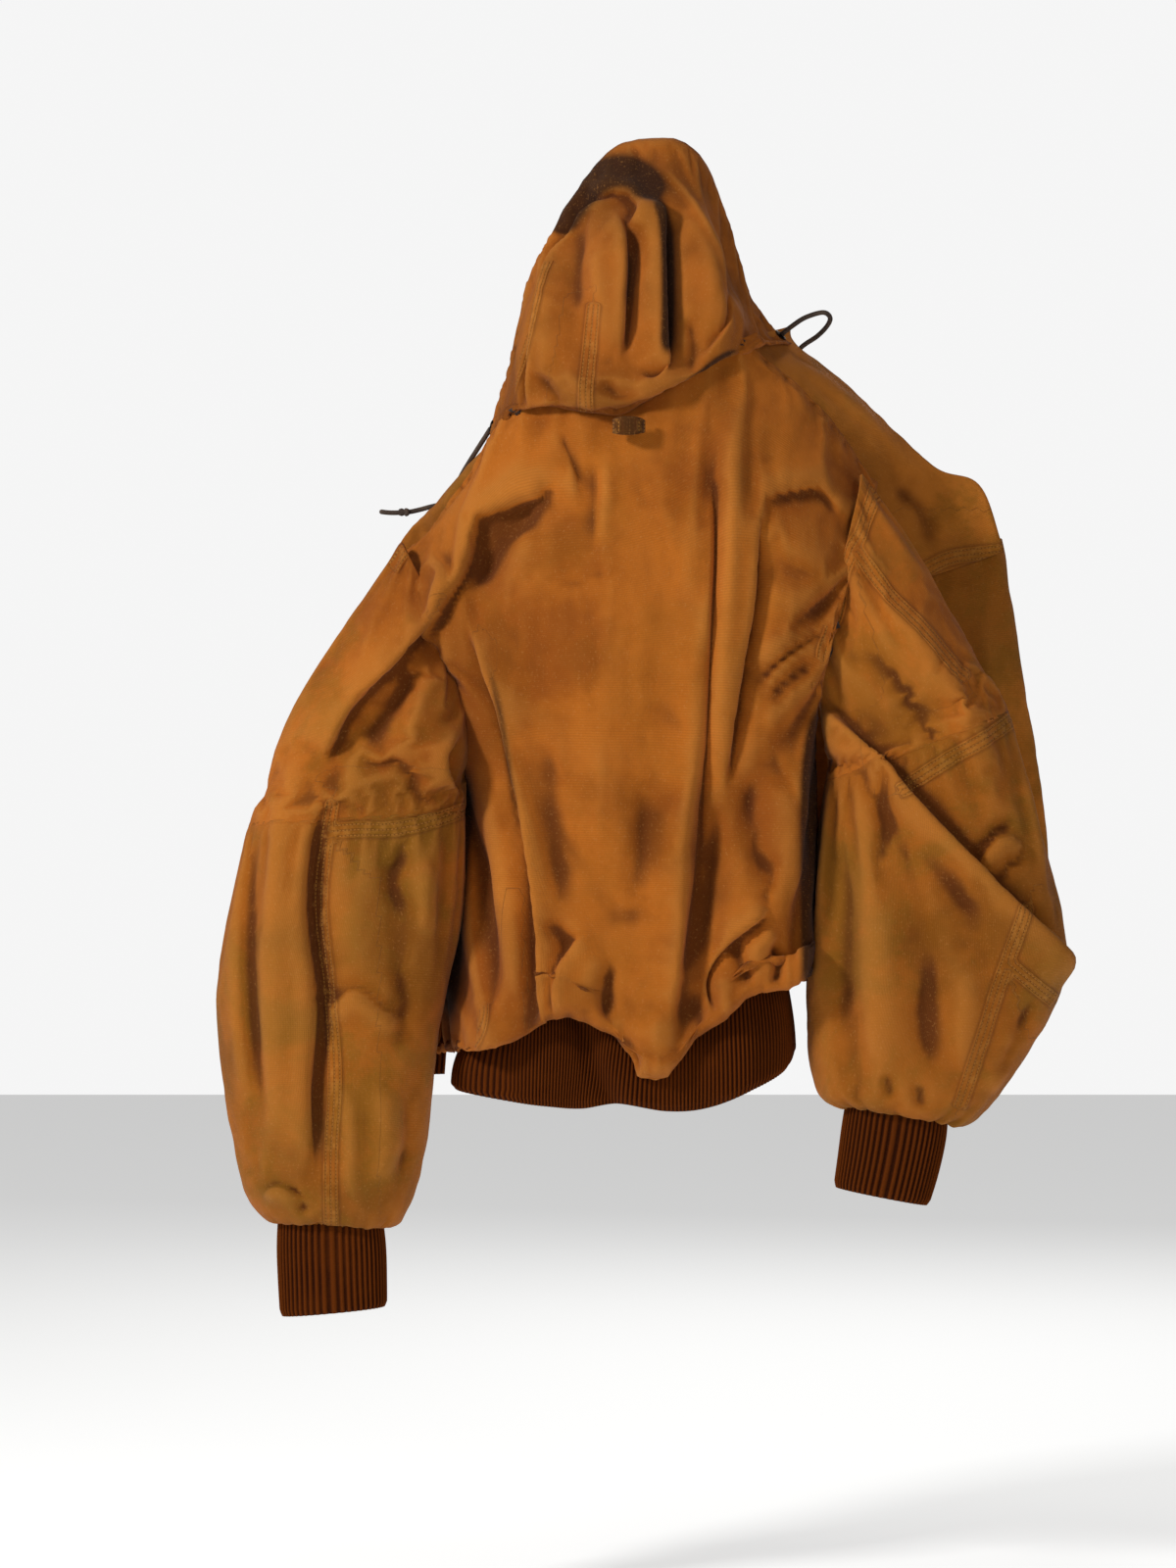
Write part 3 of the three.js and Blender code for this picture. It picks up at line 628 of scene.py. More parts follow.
        # Painted shade in the stitch grooves and in a line along the band's edge.
        base = mixed(t, math_node(t, "MULTIPLY", groove, 0.5), base, linear("54270a"))
        base = mixed(t, math_node(t, "MULTIPLY", edge, 0.35), base, linear("54270a"))
        base = mixed(t, math_node(t, "MULTIPLY", thread, 0.75), base, linear(col.thread))
        worn = math_node(t, "MULTIPLY", math_node(t, "SUBTRACT", band, groove, True),
                         ranged(t, fray.outputs[0], 0.45, 0.7, 0.0, 0.3))
        base = mixed(t, worn, base, linear("bd8038"))
        height = math_node(t, "ADD", height, math_node(t, "MULTIPLY", band, 1.3))
        height = math_node(t, "SUBTRACT", height, math_node(t, "MULTIPLY", groove, 1.5))
        height = math_node(t, "ADD", height, math_node(t, "MULTIPLY", thread, 0.8))
    bump = add(t, "ShaderNodeBump", Strength=0.55, Distance=0.0016, Height=height)
    rough = ranged(t, blotch.outputs[0], 0.3, 0.7, 0.82, 0.95)
    shader = add(t, "ShaderNodeBsdfPrincipled", Base_Color=base, Roughness=rough, Normal=bump.outputs[0])
    shader.inputs["Specular IOR Level"].default_value = 0.14
    shader.inputs["Sheen Weight"].default_value = 0.04
    shader.inputs["Sheen Roughness"].default_value = 0.5
    add(t, "ShaderNodeOutputMaterial", Surface=shader.outputs[0])
    return m


def rib_material(name):
    """Acrylic rib knit: columns of small loops, dull and slightly fuzzy."""
    m, t = material(name)
    place = add(t, "ShaderNodeTexCoord")
    flat = add(t, "ShaderNodeMapping", Vector=place.outputs["UV"], Scale=(1000, 1000, 1000))
    rib = add(t, "ShaderNodeAttribute", {"attribute_name": "rib_top"}).outputs["Fac"]
    # Loops of about 1.5 mm along each rib.
    loops = add(t, "ShaderNodeTexWave", {"bands_direction": "Y"}, Vector=flat.outputs[0], Scale=0.3,
                Distortion=1.2, Detail=1.0)
    fuzz = add(t, "ShaderNodeTexNoise", Vector=place.outputs["Object"], Scale=700.0, Detail=2.0)
    wear = add(t, "ShaderNodeTexNoise", Vector=place.outputs["Object"], Scale=18.0, Detail=4.0)
    # Painted shade: the valleys between the ribs are darkened nearly to black, and the rib tops keep the knit's
    # colour.
    base = mixed(t, ranged(t, rib, 0.1, 0.8), linear("2e1003"), linear(colours().rib))
    base = mixed(t, ranged(t, wear.outputs[0], 0.5, 0.75, 0.0, 0.25), base, linear("6a3208"))
    base = mixed(t, ranged(t, fuzz.outputs[0], 0.55, 0.75, 0.0, 0.15), base, linear("6f3c10"))
    height = math_node(t, "ADD", math_node(t, "MULTIPLY", loops.outputs[1], 0.5),
                       math_node(t, "MULTIPLY", fuzz.outputs[0], 0.4))
    bump = add(t, "ShaderNodeBump", Strength=0.6, Distance=0.0008, Height=height)
    shader = add(t, "ShaderNodeBsdfPrincipled", Base_Color=base, Roughness=0.95, Normal=bump.outputs[0])
    shader.inputs["Specular IOR Level"].default_value = 0.06
    add(t, "ShaderNodeOutputMaterial", Surface=shader.outputs[0])
    return m


def lining_material(name):
    """Quilted nylon lining: a tight plain weave with a low gloss, stitched in 50 mm diamonds."""
    m, t = material(name)
    place = add(t, "ShaderNodeTexCoord")
    flat = add(t, "ShaderNodeMapping", Vector=place.outputs["UV"], Scale=(1000, 1000, 1000))
    split = add(t, "ShaderNodeSeparateXYZ", Vector=flat.outputs[0])
    x, y = split.outputs[0], split.outputs[1]
    lines = []
    for op in ("ADD", "SUBTRACT"):
        d = math_node(t, "PINGPONG", math_node(t, op, x, y), 36.0)
        lines.append(d)
    near = math_node(t, "MINIMUM", *lines)
    puff = ranged(t, near, 0.0, 22.0)
    stitch = math_node(t, "MULTIPLY", ranged(t, near, 0.3, 1.1, 1.0, 0.0),
                       ranged(t, math_node(t, "PINGPONG", x, 2.2), 0.6, 1.0))
    weave = add(t, "ShaderNodeTexNoise", Vector=place.outputs["Object"], Scale=600.0, Detail=1.0)
    crease = add(t, "ShaderNodeTexNoise", Vector=place.outputs["Object"], Scale=45.0, Detail=4.0)
    base = mixed(t, ranged(t, crease.outputs[0], 0.4, 0.7), linear(colours().lining), linear("3a2c22"))
    base = mixed(t, stitch, base, linear("6b4a2c"))
    height = math_node(t, "ADD", math_node(t, "MULTIPLY", puff, 3.0),
                       math_node(t, "MULTIPLY", crease.outputs[0], 0.8))
    height = math_node(t, "ADD", height, math_node(t, "MULTIPLY", weave.outputs[0], 0.05))
    bump = add(t, "ShaderNodeBump", Strength=0.8, Distance=0.0016, Height=height)
    shader = add(t, "ShaderNodeBsdfPrincipled", Base_Color=base, Roughness=0.48, Normal=bump.outputs[0])
    add(t, "ShaderNodeOutputMaterial", Surface=shader.outputs[0])
    return m


def cord_material(name):
    """Braided cotton cord: crossing strands, dull and a little grubby."""
    m, t = material(name)
    place = add(t, "ShaderNodeTexCoord")
    a = add(t, "ShaderNodeMapping", Vector=place.outputs["UV"], Scale=(6.0, 420.0, 1.0))
    b = add(t, "ShaderNodeMapping", Vector=place.outputs["UV"], Scale=(-6.0, 420.0, 1.0))
    one = add(t, "ShaderNodeTexWave", {"bands_direction": "DIAGONAL"}, Vector=a.outputs[0], Scale=1.0)
    two = add(t, "ShaderNodeTexWave", {"bands_direction": "DIAGONAL"}, Vector=b.outputs[0], Scale=1.0)
    braid = math_node(t, "MAXIMUM", one.outputs[1], two.outputs[1])
    grub = add(t, "ShaderNodeTexNoise", Vector=place.outputs["Object"], Scale=90.0, Detail=4.0)
    # Painted shade between the strands: the colour darkens where the braid lies low.
    base = mixed(t, braid, linear("2a201a"), linear(colours().cord))
    base = mixed(t, ranged(t, grub.outputs[0], 0.4, 0.7, 0.0, 0.4), base, linear("6a5644"))
    bump = add(t, "ShaderNodeBump", Strength=0.7, Distance=0.0006, Height=braid)
    shader = add(t, "ShaderNodeBsdfPrincipled", Base_Color=base, Roughness=0.9, Normal=bump.outputs[0])
    add(t, "ShaderNodeOutputMaterial", Surface=shader.outputs[0])
    return m


def metal_material(name, code, rough, worn):
    """Die-cast or stamped metal with a dull tarnish in patches."""
    m, t = material(name)
    place = add(t, "ShaderNodeTexCoord")
    tarnish = add(t, "ShaderNodeTexNoise", Vector=place.outputs["Object"], Scale=220.0, Detail=5.0)
    base = mixed(t, ranged(t, tarnish.outputs[0], 0.4, 0.7), linear(code), linear(worn))
    r = ranged(t, tarnish.outputs[0], 0.3, 0.7, rough, rough + 0.25)
    bump = add(t, "ShaderNodeBump", Strength=0.3, Distance=0.0003, Height=tarnish.outputs[0])
    shader = add(t, "ShaderNodeBsdfPrincipled", Base_Color=base, Roughness=r, Metallic=1.0,
                 Normal=bump.outputs[0])
    add(t, "ShaderNodeOutputMaterial", Surface=shader.outputs[0])
    return m


def tape_material(name):
    """Woven polyester zip tape: fine herringbone."""
    m, t = material(name)
    place = add(t, "ShaderNodeTexCoord")
    fine = add(t, "ShaderNodeTexWave", {"bands_direction": "DIAGONAL"}, Vector=place.outputs["Object"],
               Scale=260.0, Distortion=0.5)
    # Painted shade in the weave: the colour darkens where the herringbone lies low.
    base = mixed(t, fine.outputs[1], linear("2e1e10"), linear("4a321c"))
    bump = add(t, "ShaderNodeBump", Strength=0.5, Distance=0.0003, Height=fine.outputs[1])
    shader = add(t, "ShaderNodeBsdfPrincipled", Base_Color=base, Roughness=0.85, Normal=bump.outputs[0])
    add(t, "ShaderNodeOutputMaterial", Surface=shader.outputs[0])
    return m


FINISH = {}


def finish_of(key):
    """Each finish is made once, on first use."""
    if key not in FINISH:
        col = colours()
        make = {
            "back": lambda: canvas_material("duck_canvas_back", col.canvas, col.canvas_shade, 0.15, 0.0),
            "hood": lambda: canvas_material("duck_canvas_hood", "aa5d18", "874709", 0.2, 3.0),
            "sleeve": lambda: canvas_material("duck_canvas_sleeve", col.canvas, col.canvas_shade, 0.45, 5.0),
            "forearm": lambda: canvas_material("duck_canvas_forearm", "a45c16", "824b0c", 0.6, 5.0),
            # The fronts, yokes and pockets take a lighter copy of the canvas: partly painted light standing in for
            # light on them, partly their olive stain.
            "front": lambda: canvas_material("duck_canvas_front", "bd7024", "9a5a18", 0.5, 11.0),
            "loop": lambda: canvas_material("duck_canvas_loop", "5c3408", "3c2006", 0.3, 17.0),
            "lining": lambda: lining_material("quilted_lining"),
            "rib": lambda: rib_material("acrylic_rib_knit"),
            "cord": lambda: cord_material("braided_cotton_cord"),
            "brass": lambda: metal_material("antique_brass", col.brass, 0.3, "5a4526"),
            "eyelet": lambda: metal_material("blackened_eyelet", col.eyelet, 0.4, "5a4a3c"),
            "tape": lambda: tape_material("zip_tape_weave"),
        }
        FINISH[key] = make[key]()
    return FINISH[key]


def dress(ob, finish, slot, body, *nodes):
    """Gives a piece its finish, hides the nodes it stands for and attaches it to its body; a slot starting with
    canvas has its relief stored.
    """
    ob.data.materials.clear()
    ob.data.materials.append(finish_of(finish))
    # A canvas piece stores its relief, which its material turns into painted shade and fading.
    if "relief" in ob.data.attributes and slot.startswith("canvas"):
        store_relief_for_shade_and_fading(ob)
    if nodes:
        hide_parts(*nodes)
    if body:
        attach(ob, body)
    return ob


# ---------------------------------------------------------------- back of the body
# Rows go down from the shoulder line, and run from the wearer's left side to the right side.
BACK_ROWS = [
    [(-250, 8, -372), (-222, -22, -352), (-186, -40, -304), (-139, -62, -236), (-92, -82, -233),
     (-43, -90, -240), (8, -88, -209), (57, -76, -174), (108, -58, -208), (151, -42, -248),
     (186, -28, -296), (196, -10, -304)],
    [(-256, -16, -384), (-228, -40, -360), (-188, -60, -318), (-139, -76, -252), (-92, -97, -250),
     (-43, -105, -258), (8, -103, -227), (57, -91, -192), (108, -75, -224), (151, -60, -264),
     (184, -46, -308), (194, -38, -316)],
    [(-244, -66, -434), (-216, -84, -422), (-180, -96, -408), (-140, -104, -390), (-92, -112, -385),
     (-43, -118, -380), (8, -114, -368), (55, -118, -350), (95, -116, -354), (132, -108, -370),
     (158, -96, -394), (166, -90, -402)],
    [(-196, -64, -502), (-180, -78, -506), (-158, -90, -507), (-130, -100, -503), (-90, -116, -500),
     (-43, -122, -500), (5, -114, -500), (45, -118, -500), (82, -114, -502), (112, -104, -506),
     (132, -90, -510), (140, -78, -512)],
    [(-208, 43, -640), (-192, 0, -640), (-170, -52, -640), (-134, -98, -640), (-90, -108, -640),
     (-43, -114, -640), (2, -108, -640), (40, -112, -640), (82, -112, -640), (116, -92, -640),
     (134, -40, -640), (140, 43, -640)],
    [(-214, 43, -745), (-204, 0, -745), (-186, -52, -745), (-148, -104, -745), (-95, -112, -745),
     (-43, -118, -745), (2, -116, -745), (42, -114, -745), (85, -114, -735), (120, -92, -728),
     (134, -36, -728), (140, 43, -728)],
]
# The gathered hem, as it hangs over the waistband.
HEM_LINE = [
    (-222, -838), (-203, -832), (-180, -825), (-150, -820), (-126, -812), (-114, -794), (-104, -789),
    (-90, -790), (-72, -796), (-55, -806), (-45, -817), (-36, -834), (-28, -846), (-10, -852),
    (4, -847), (13, -834), (18, -820), (30, -808), (50, -799), (60, -790), (68, -777), (85, -771),
    (108, -770), (122, -762), (142, -752),
]


def hem_row(rise, y_front, y_side):
    """A row along the hem's line: rise above it, y at the middle of the back and at its sides."""
    line = np.array(HEM_LINE, float)
    made = []
    for k in range(49):
        u = k / 48
        x, y, _ = run(BACK_ROWS[5], np.array([u]))[0]
        deep = float(smooth(np.array([y]), 20.0, -90.0)[0])
        made.append((x, y_side + (y_front - y_side) * deep, np.interp(x, line[:, 0], line[:, 1]) + rise))
    return made


HEM_ROWS = [hem_row(34, -114, 42), hem_row(15, -118, 42), hem_row(3, -114, 42), hem_row(0, -104, 40),
            hem_row(5, -94, 38)]
BACK_FOLDS = [
    # The deep groove right of the middle, with the cloth rolled over it from the left.
    ("lip", [(0, -838), (2, -780), (9, -720), (15, -660), (19, -600), (26, -540), (30, -470), (33, -410),
             (36, -340), (38, -262)], 22, 13, 0.2, 5),
    ("valley", [(38, -260), (37, -320), (34, -380), (32, -440)], 12, 12, 0.35),
    ("valley", [(33, -420), (31, -500), (27, -570), (20, -650), (12, -720)], 6, 12, 0.2),
    ("ridge", [(60, -215), (60, -288), (56, -369), (50, -440), (44, -520), (40, -590)], 11, 12, 0.3),
    ("lip", [(42, -600), (50, -540), (62, -470), (72, -420), (78, -369), (84, -322)], 9, 8, 0.25, 5),
    ("valley", [(88, -318), (84, -369), (78, -423), (68, -478), (56, -540), (50, -590)], 9, 12, 0.3),
    ("valley", [(40, -590), (36, -650), (30, -710), (22, -770), (14, -825)], 13, 18, 0.25),
    # The slack over the right shoulder blade.
    ("lip", [(82, -322), (98, -312), (118, -308), (140, -306), (156, -318), (166, -346)], 15, 9, 0.25, 6),
    ("valley", [(92, -400), (112, -388), (138, -396), (142, -430), (122, -452)], 15, 9, 0.35),
    ("ridge", [(154, -430), (128, -444), (100, -456), (76, -478)], 8, 8, 0.3),
    ("lip", [(146, -452), (124, -462), (102, -478), (84, -498)], 9, 10, 0.25, 6),
    ("ridge", [(138, -486), (118, -492), (98, -508), (84, -530)], 7, 7, 0.3),
    ("valley", [(140, -476), (118, -480), (100, -494), (90, -512)], 5, 8, 0.3),
    # The full right side above the waistband.
    ("lip", [(88, -536), (100, -556), (114, -588), (124, -630), (128, -672), (124, -716), (116, -752)],
     30, 6, 0.25, 2),
    ("ridge", [(100, -560), (104, -610), (112, -650), (116, -700)], 16, 12, 0.3),
    ("valley", [(70, -560), (74, -610), (82, -650), (88, -680)], 13, 12, 0.3),
    ("lip", [(34, -792), (26, -766), (30, -744), (44, -724), (66, -706), (92, -688)], 12, 13, 0.2, 7),
    ("ridge", [(70, -740), (84, -722), (98, -716)], 8, 8, 0.3),
    ("valley", [(60, -712), (60, -736), (70, -764)], 5, 9, 0.25),
    ("valley", [(92, -720), (98, -742), (96, -764)], 5, 9, 0.25),
    ("valley", [(84, -640), (94, -664), (86, -684), (102, -690)], 6, 6, 0.3),
    ("ridge", [(44, -748), (48, -770), (52, -792)], 7, 7, 0.3),
    # The left side, which rolls forward over the back.
    ("lip", [(-178, -430), (-160, -470), (-142, -506), (-132, -545), (-124, -592), (-118, -640),
             (-113, -690), (-110, -737), (-112, -788), (-124, -822)], 26, 17, 0.18, 9),
    ("valley", [(-120, -510), (-106, -570), (-98, -630), (-94, -680), (-94, -716)], 14, 12, 0.3),
    ("ridge", [(-152, -560), (-150, -640), (-142, -720), (-140, -790)], 12, 9, 0.3),
    ("valley", [(-170, -600), (-166, -680), (-162, -750), (-166, -815)], 8, 10, 0.3),
    ("lip", [(-70, -716), (-84, -738), (-92, -764), (-94, -790)], 10, 10, 0.2, 6),
    ("valley", [(-102, -700), (-88, -722), (-84, -744)], 6, 9, 0.25),
    ("ridge", [(-60, -730), (-70, -756), (-72, -784)], 10, 7, 0.3),
    ("valley", [(-48, -736), (-54, -770), (-50, -800)], 6, 9, 0.3),
    # The slack drawn towards the left shoulder.
    ("lip", [(-226, -452), (-208, -420), (-196, -394), (-184, -366), (-176, -336), (-150, -322),
             (-126, -314), (-100, -300)], 26, 17, 0.16, 9),
    ("valley", [(-116, -322), (-144, -344), (-160, -372), (-176, -404)], 15, 14, 0.25),
    ("lip", [(-82, -320), (-92, -296), (-100, -276), (-108, -258)], 10, 8, 0.3, 5),
    ("valley", [(-100, -262), (-98, -284), (-90, -306)], 6, 9, 0.3),
    ("ridge", [(-56, -270), (-58, -330), (-62, -365)], 8, 5, 0.35),
    ("valley", [(-68, -280), (-68, -330), (-72, -370)], 8, 5, 0.35),
    ("ridge", [(-226, -372), (-206, -392), (-214, -430)], 9, 6, 0.3),
    ("valley", [(-214, -366), (-198, -388), (-206, -420)], 6, 6, 0.3),
    # Shallow creases pressed into the middle of the back.
    ("valley", [(-109, -397), (-84, -397), (-71, -391), (-37, -387)], 2.8, 3.0, 0.3),
    ("valley", [(-34, -313), (-22, -311)], 2.2, 2.2, 0.3),
    ("valley", [(-123, -456), (-100, -455), (-79, -454)], 2.8, 2.2, 0.3),
    ("valley", [(-28, -322), (-16, -326)], 2.2, 1.8, 0.3),
    ("ridge", [(-60, -500), (-58, -600), (-56, -680)], 26, 6, 0.4),
    ("valley", [(-24, -560), (-22, -640), (-28, -710)], 16, 6, 0.4),
    ("valley", [(-64, -690), (-40, -700), (-14, -690)], 10, 4, 0.4),
    ("valley", [(-40, -800), (-36, -825), (-32, -845)], 6, 12, 0.3),
    ("ridge", [(-14, -780), (-10, -820), (-8, -852)], 16, 10, 0.3),
]


def gathers(u, depth, seed, amount, count):
    """Short puckers that run up from a gathered seam; depth is the distance from it in millimetres."""
    h = np.empty(len(u))
    for k, (a, d) in enumerate(zip(u, depth)):
        if d > 90:
            h[k] = 0
            continue
        fine = noise.noise(Vector((a * count, d * 0.006, seed)))
        finer = noise.noise(Vector((a * count * 2.3 + 9, d * 0.012, seed)))
        h[k] = amount * (fine * 1.5 * math.exp(-d / 42) + finer * math.exp(-d / 16))
    return h


def built(folds):
    return [fold(*f) for f in folds]


def back_points(u, v, p, n):
    size = sizes()
    facing = smooth(-n[:, 1], 0.05, 0.5)
    h = crumple(p, size.crumple / MM, 2.0)
    h = h + gathers(u, np.abs(p[:, 2] - np.interp(p[:, 0], *zip(*HEM_LINE))), 4.0, 3.4, 44)
    edge = smooth(u, 0.0, 0.04) * smooth(1 - u, 0.0, 0.04) * smooth(v, 0.02, 0.12)
    return folded(p, n, built(BACK_FOLDS), (0.25 + 0.75 * facing) * (0.2 + 0.8 * edge), h)


# Painted shadow where the back goes in behind the sleeves, and along its deepest crease.
BACK_PAINTED_SHADOWS = [
    ("valley", [(-184, -560), (-190, -640), (-198, -740), (-203, -820)], 10, 1.3, 0.2),
    ("valley", [(146, -500), (136, -540), (130, -600), (131, -700), (131, -790)], 9, 1.3, 0.15),
    ("valley", [(-168, -455), (-152, -520), (-141, -590), (-131, -655)], 4, 0.6, 0.3),
]


class JACKET_OT_back(bpy.types.Operator):
    """Back of the canvas shell and its quilted lining"""

    bl_idname = "jacket.back"
    bl_label = "Back"

    def execute(self, context):
        size = sizes()
        at = surface(BACK_ROWS + HEM_ROWS)
        seams = [
            (Path([(194, -300), (180, -351), (169, -371), (158, -405), (153, -432), (140, -464),
                   (135, -495), (140, -512)]), -1),
            (Path([(-232, -446), (-216, -472), (-192, -496)]), -1),
            (Path([(-182, -690), (-169, -774), (-186, -826)]), -1),
        ]
        shell = cloth_object("back_shell", at, 150, 190, (0.52, 0.64), outward=to_back,
                             shape=back_points, seams=seams, thick=size.canvas)
        settle(shell, edges_held(shell, (0.52, 0.64)), grow=0.045, cap=7)
        paint_shadows(shell, BACK_PAINTED_SHADOWS)
        dress(shell, "back", "canvas", "torso", "back_panel")
        inner = lined(shell, "back_lining_quilt", 6.0, (0.12, 0.43), size.lining)
        dress(inner, "lining", "lining", "torso", "back_lining")
        return {"FINISHED"}


# ---------------------------------------------------------------- ribs
def rib_object(name, at, around_mm, tall_mm, per_rib, nv, outward, close=False, shape=None, seed=0.0):
    """A knitted band: ribs run along v and stand up from the surface."""
    size = sizes()
    ribs = max(6, round(around_mm * MM / size.rib_pitch))
    nu = ribs * per_rib

    def stand(u, v, p, n):
        q = shape(u, v, p, n) if shape else p
        wave = np.cos(2 * np.pi * ribs * u)
        return q + n * (size.rib_height / MM * wave)[:, None]

    ob = cloth_object(name, at, nu, nv, (around_mm * MM, tall_mm * MM), close=close,
                      outward=outward, shape=stand, thick=0.0022, soften=0)
    mesh = ob.data
    layer = mesh.attributes.new("rib_top", "FLOAT", "POINT")
    uvs = np.zeros(len(mesh.loops) * 2, np.float32)
    mesh.uv_layers[0].data.foreach_get("uv", uvs)
    vert = np.zeros(len(mesh.loops), np.int32)
    mesh.loops.foreach_get("vertex_index", vert)
    top = np.zeros(len(mesh.vertices), np.float32)
    top[vert] = 0.5 + 0.5 * np.cos(2 * np.pi * ribs * uvs[0::2] / (around_mm * MM))
    layer.data.foreach_set("value", top)
    return ob


BAND_ROWS = [
    [(-184, 20, -806), (-180, -32, -812), (-138, -72, -790), (-104, -84, -772), (-72, -84, -782),
     (-38, -84, -790), (0, -86, -796), (38, -84, -782), (76, -78, -762), (104, -50, -750), (112, 20, -746)],
    [(-190, 20, -836), (-188, -40, -840), (-140, -84, -832), (-104, -92, -824), (-74, -90, -830),
     (-42, -96, -836), (0, -97, -840), (38, -96, -828), (78, -90, -812), (108, -60, -800), (116, 20, -794)],
    [(-197, 20, -862), (-194, -38, -868), (-142, -82, -876), (-106, -90, -880), (-78, -92, -881),
     (-46, -98, -876), (0, -99, -883), (38, -97, -880), (80, -91, -864), (110, -60, -850), (122, 20, -838)],
]


class JACKET_OT_waistband(bpy.types.Operator):
    """Rib-knit waistband below the back's gathered hem"""

    bl_idname = "jacket.waistband"
    bl_label = "Waistband"

    def execute(self, context):
        def slack(u, v, p, n):
            folds = built([
                ("valley", [(-84, -770), (-74, -820), (-62, -860), (-44, -884)], 9, 8, 0.1),
                ("ridge", [(-62, -770), (-56, -820), (-40, -860), (-20, -884)], 12, 5, 0.1),
                ("ridge", [(70, -760), (60, -820), (50, -880)], 20, 3, 0.1),
                ("valley", [(-150, -800), (-146, -870)], 14, 3, 0.1),
            ])
            h = fold_height(folds, p[:, [0, 2]])[0]
            roll = -4.0 * smooth(v, 0.93, 1.0) + 2.5 * np.sin(np.pi * np.clip(v * 1.3 - 0.3, 0, 1))
            return p + n * (h + roll)[:, None]

        band = rib_object("waistband_rib", surface(BAND_ROWS), 460, 90, 6, 34, to_back, shape=slack)
        dress(band, "rib", "rib", "torso", "waistband_back")
        return {"FINISHED"}


# ---------------------------------------------------------------- yokes and hanger loop
YOKE_RIGHT = [
    [(68, -54, -176), (94, -22, -166), (116, 12, -158)],
    [(76, -62, -194), (98, -36, -188), (122, 10, -174)],
    [(104, -58, -230), (138, -24, -208), (161, 18, -202)],
    [(144, -36, -268), (180, -8, -244), (206, 28, -244)],
    [(172, -6, -316), (216, 26, -294), (254, 40, -287)],
    [(176, 20, -362), (240, 40, -332), (297, 46, -304)],
    [(190, 30, -410), (248, 40, -391), (320, 46, -366)],
]
YOKE_LEFT = [
    [(-138, -54, -258), (-158, -28, -266), (-170, 9, -274)],
    [(-176, -30, -322), (-200, -8, -316), (-210, 20, -320)],
    [(-200, 6, -364), (-224, 26, -354), (-244, 33, -352)],
    [(-200, 30, -410), (-234, 41, -400), (-262, 46, -390)],
]


class JACKET_OT_yokes(bpy.types.Operator):
    """Front yokes, from the shoulders down to the seam of each front"""

    bl_idname = "jacket.yokes"
    bl_label = "Yokes"

    def execute(self, context):
        size = sizes()
        for side, rows, seams, folds in (
            ("right", YOKE_RIGHT, [(Path([(204, -402), (212, -396), (238, -387), (270, -372), (318, -366)]), 0)],
             [("valley", [(120, -196), (170, -240), (220, -280)], 6, 4, 0.3),
              ("ridge", [(150, -215), (200, -262), (250, -310)], 10, 5, 0.3),
              ("valley", [(210, -300), (240, -330), (250, -370)], 8, 4, 0.3)]),
            ("left", YOKE_LEFT, [(Path([(-258, -388), (-236, -395), (-212, -402)]), 0)],
             [("ridge", [(-165, -270), (-195, -310), (-225, -345)], 7, 3, 0.3)]),
        ):
            made = built(folds)

            def shape(u, v, p, n, made=made):
                return folded(p, n, made, 1.0, crumple(p, size.crumple / MM, 7.0))

            ob = cloth_object(f"yoke_{side}_shell", surface(rows), 34, 64, (0.12, 0.24), outward=to_back,
                              shape=shape, seams=seams, thick=size.canvas * 1.3)
            dress(ob, "front", "canvas", "torso", f"yoke_{side}")
        return {"FINISHED"}


class JACKET_OT_loop(bpy.types.Operator):
    """Hanger loop sewn across the back of the neck"""

    bl_idname = "jacket.loop"
    bl_label = "Hanger loop"

    def execute(self, context):
        # Its ends are sewn into the neck seam, a little above the middle of its strap.
        lo, hi = (np.array(c) / MM + (0, -4, 8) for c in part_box("hanger_loop"))
        strap = [
            (lo[0] - 3, hi[1] + 3), (lo[0] - 1, hi[1] - 1), (lo[0] + 3, lo[1] + 2), (lo[0] + 8, lo[1] + 0.6),
            (hi[0] - 8, lo[1] + 0.6), (hi[0] - 3, lo[1] + 2), (hi[0] + 1, hi[1] - 1), (hi[0] + 3, hi[1] + 3),
        ]
        rows = [[(x, y, z + s * 2.5 * math.sin(i * 0.5)) for i, (x, y) in enumerate(strap)]
                for s, z in ((1, hi[2] + 1.5), (0, (lo[2] + hi[2]) / 2), (-1, lo[2] - 0.5))]
        seams = [(Path([(lo[0] - 2, hi[2]), (lo[0] - 2, lo[2])]), 0), (Path([(hi[0] + 2, hi[2]), (hi[0] + 2, lo[2])]), 0)]
        ob = cloth_object("hanger_loop_strap", surface(rows), 40, 10, (0.04, 0.011), outward=to_back,
                          seams=seams, thick=0.0018)
        dress(ob, "loop", "canvas_dark", "torso", "hanger_loop")
        return {"FINISHED"}


# ---------------------------------------------------------------- hood
RIM = [
    (-167, 8, -277), (-155, 6, -225), (-143, 5, -184), (-127, 3, -114), (-106, 1, -72), (-80, 0, -28),
    (-47, 0, 8), (-6, 0, 17), (20, 0, 11), (39, 0, -10), (55, 1, -47), (66, 2, -84), (78, 3, -126),
    (99, 5, -158), (119, 8, -174),
]
NECK = [
    (-155, -54, -258), (-147, -66, -250), (-138, -76, -247), (-122, -88, -248), (-104, -97, -249),
    (-84, -102, -253), (-62, -105, -256), (-42, -106, -257), (-22, -106, -247), (-4, -105, -236),
    (14, -103, -224), (30, -99, -212), (46, -95, -199), (62, -88, -190), (82, -76, -180),
]
BULGE = [4, 8, 18, 30, 40, 46, 48, 46, 44, 42, 38, 32, 22, 12, 6]
SPREAD = [-2, -4, -8, -12, -12, -8, -4, 0, 4, 10, 14, 16, 14, 8, 4]
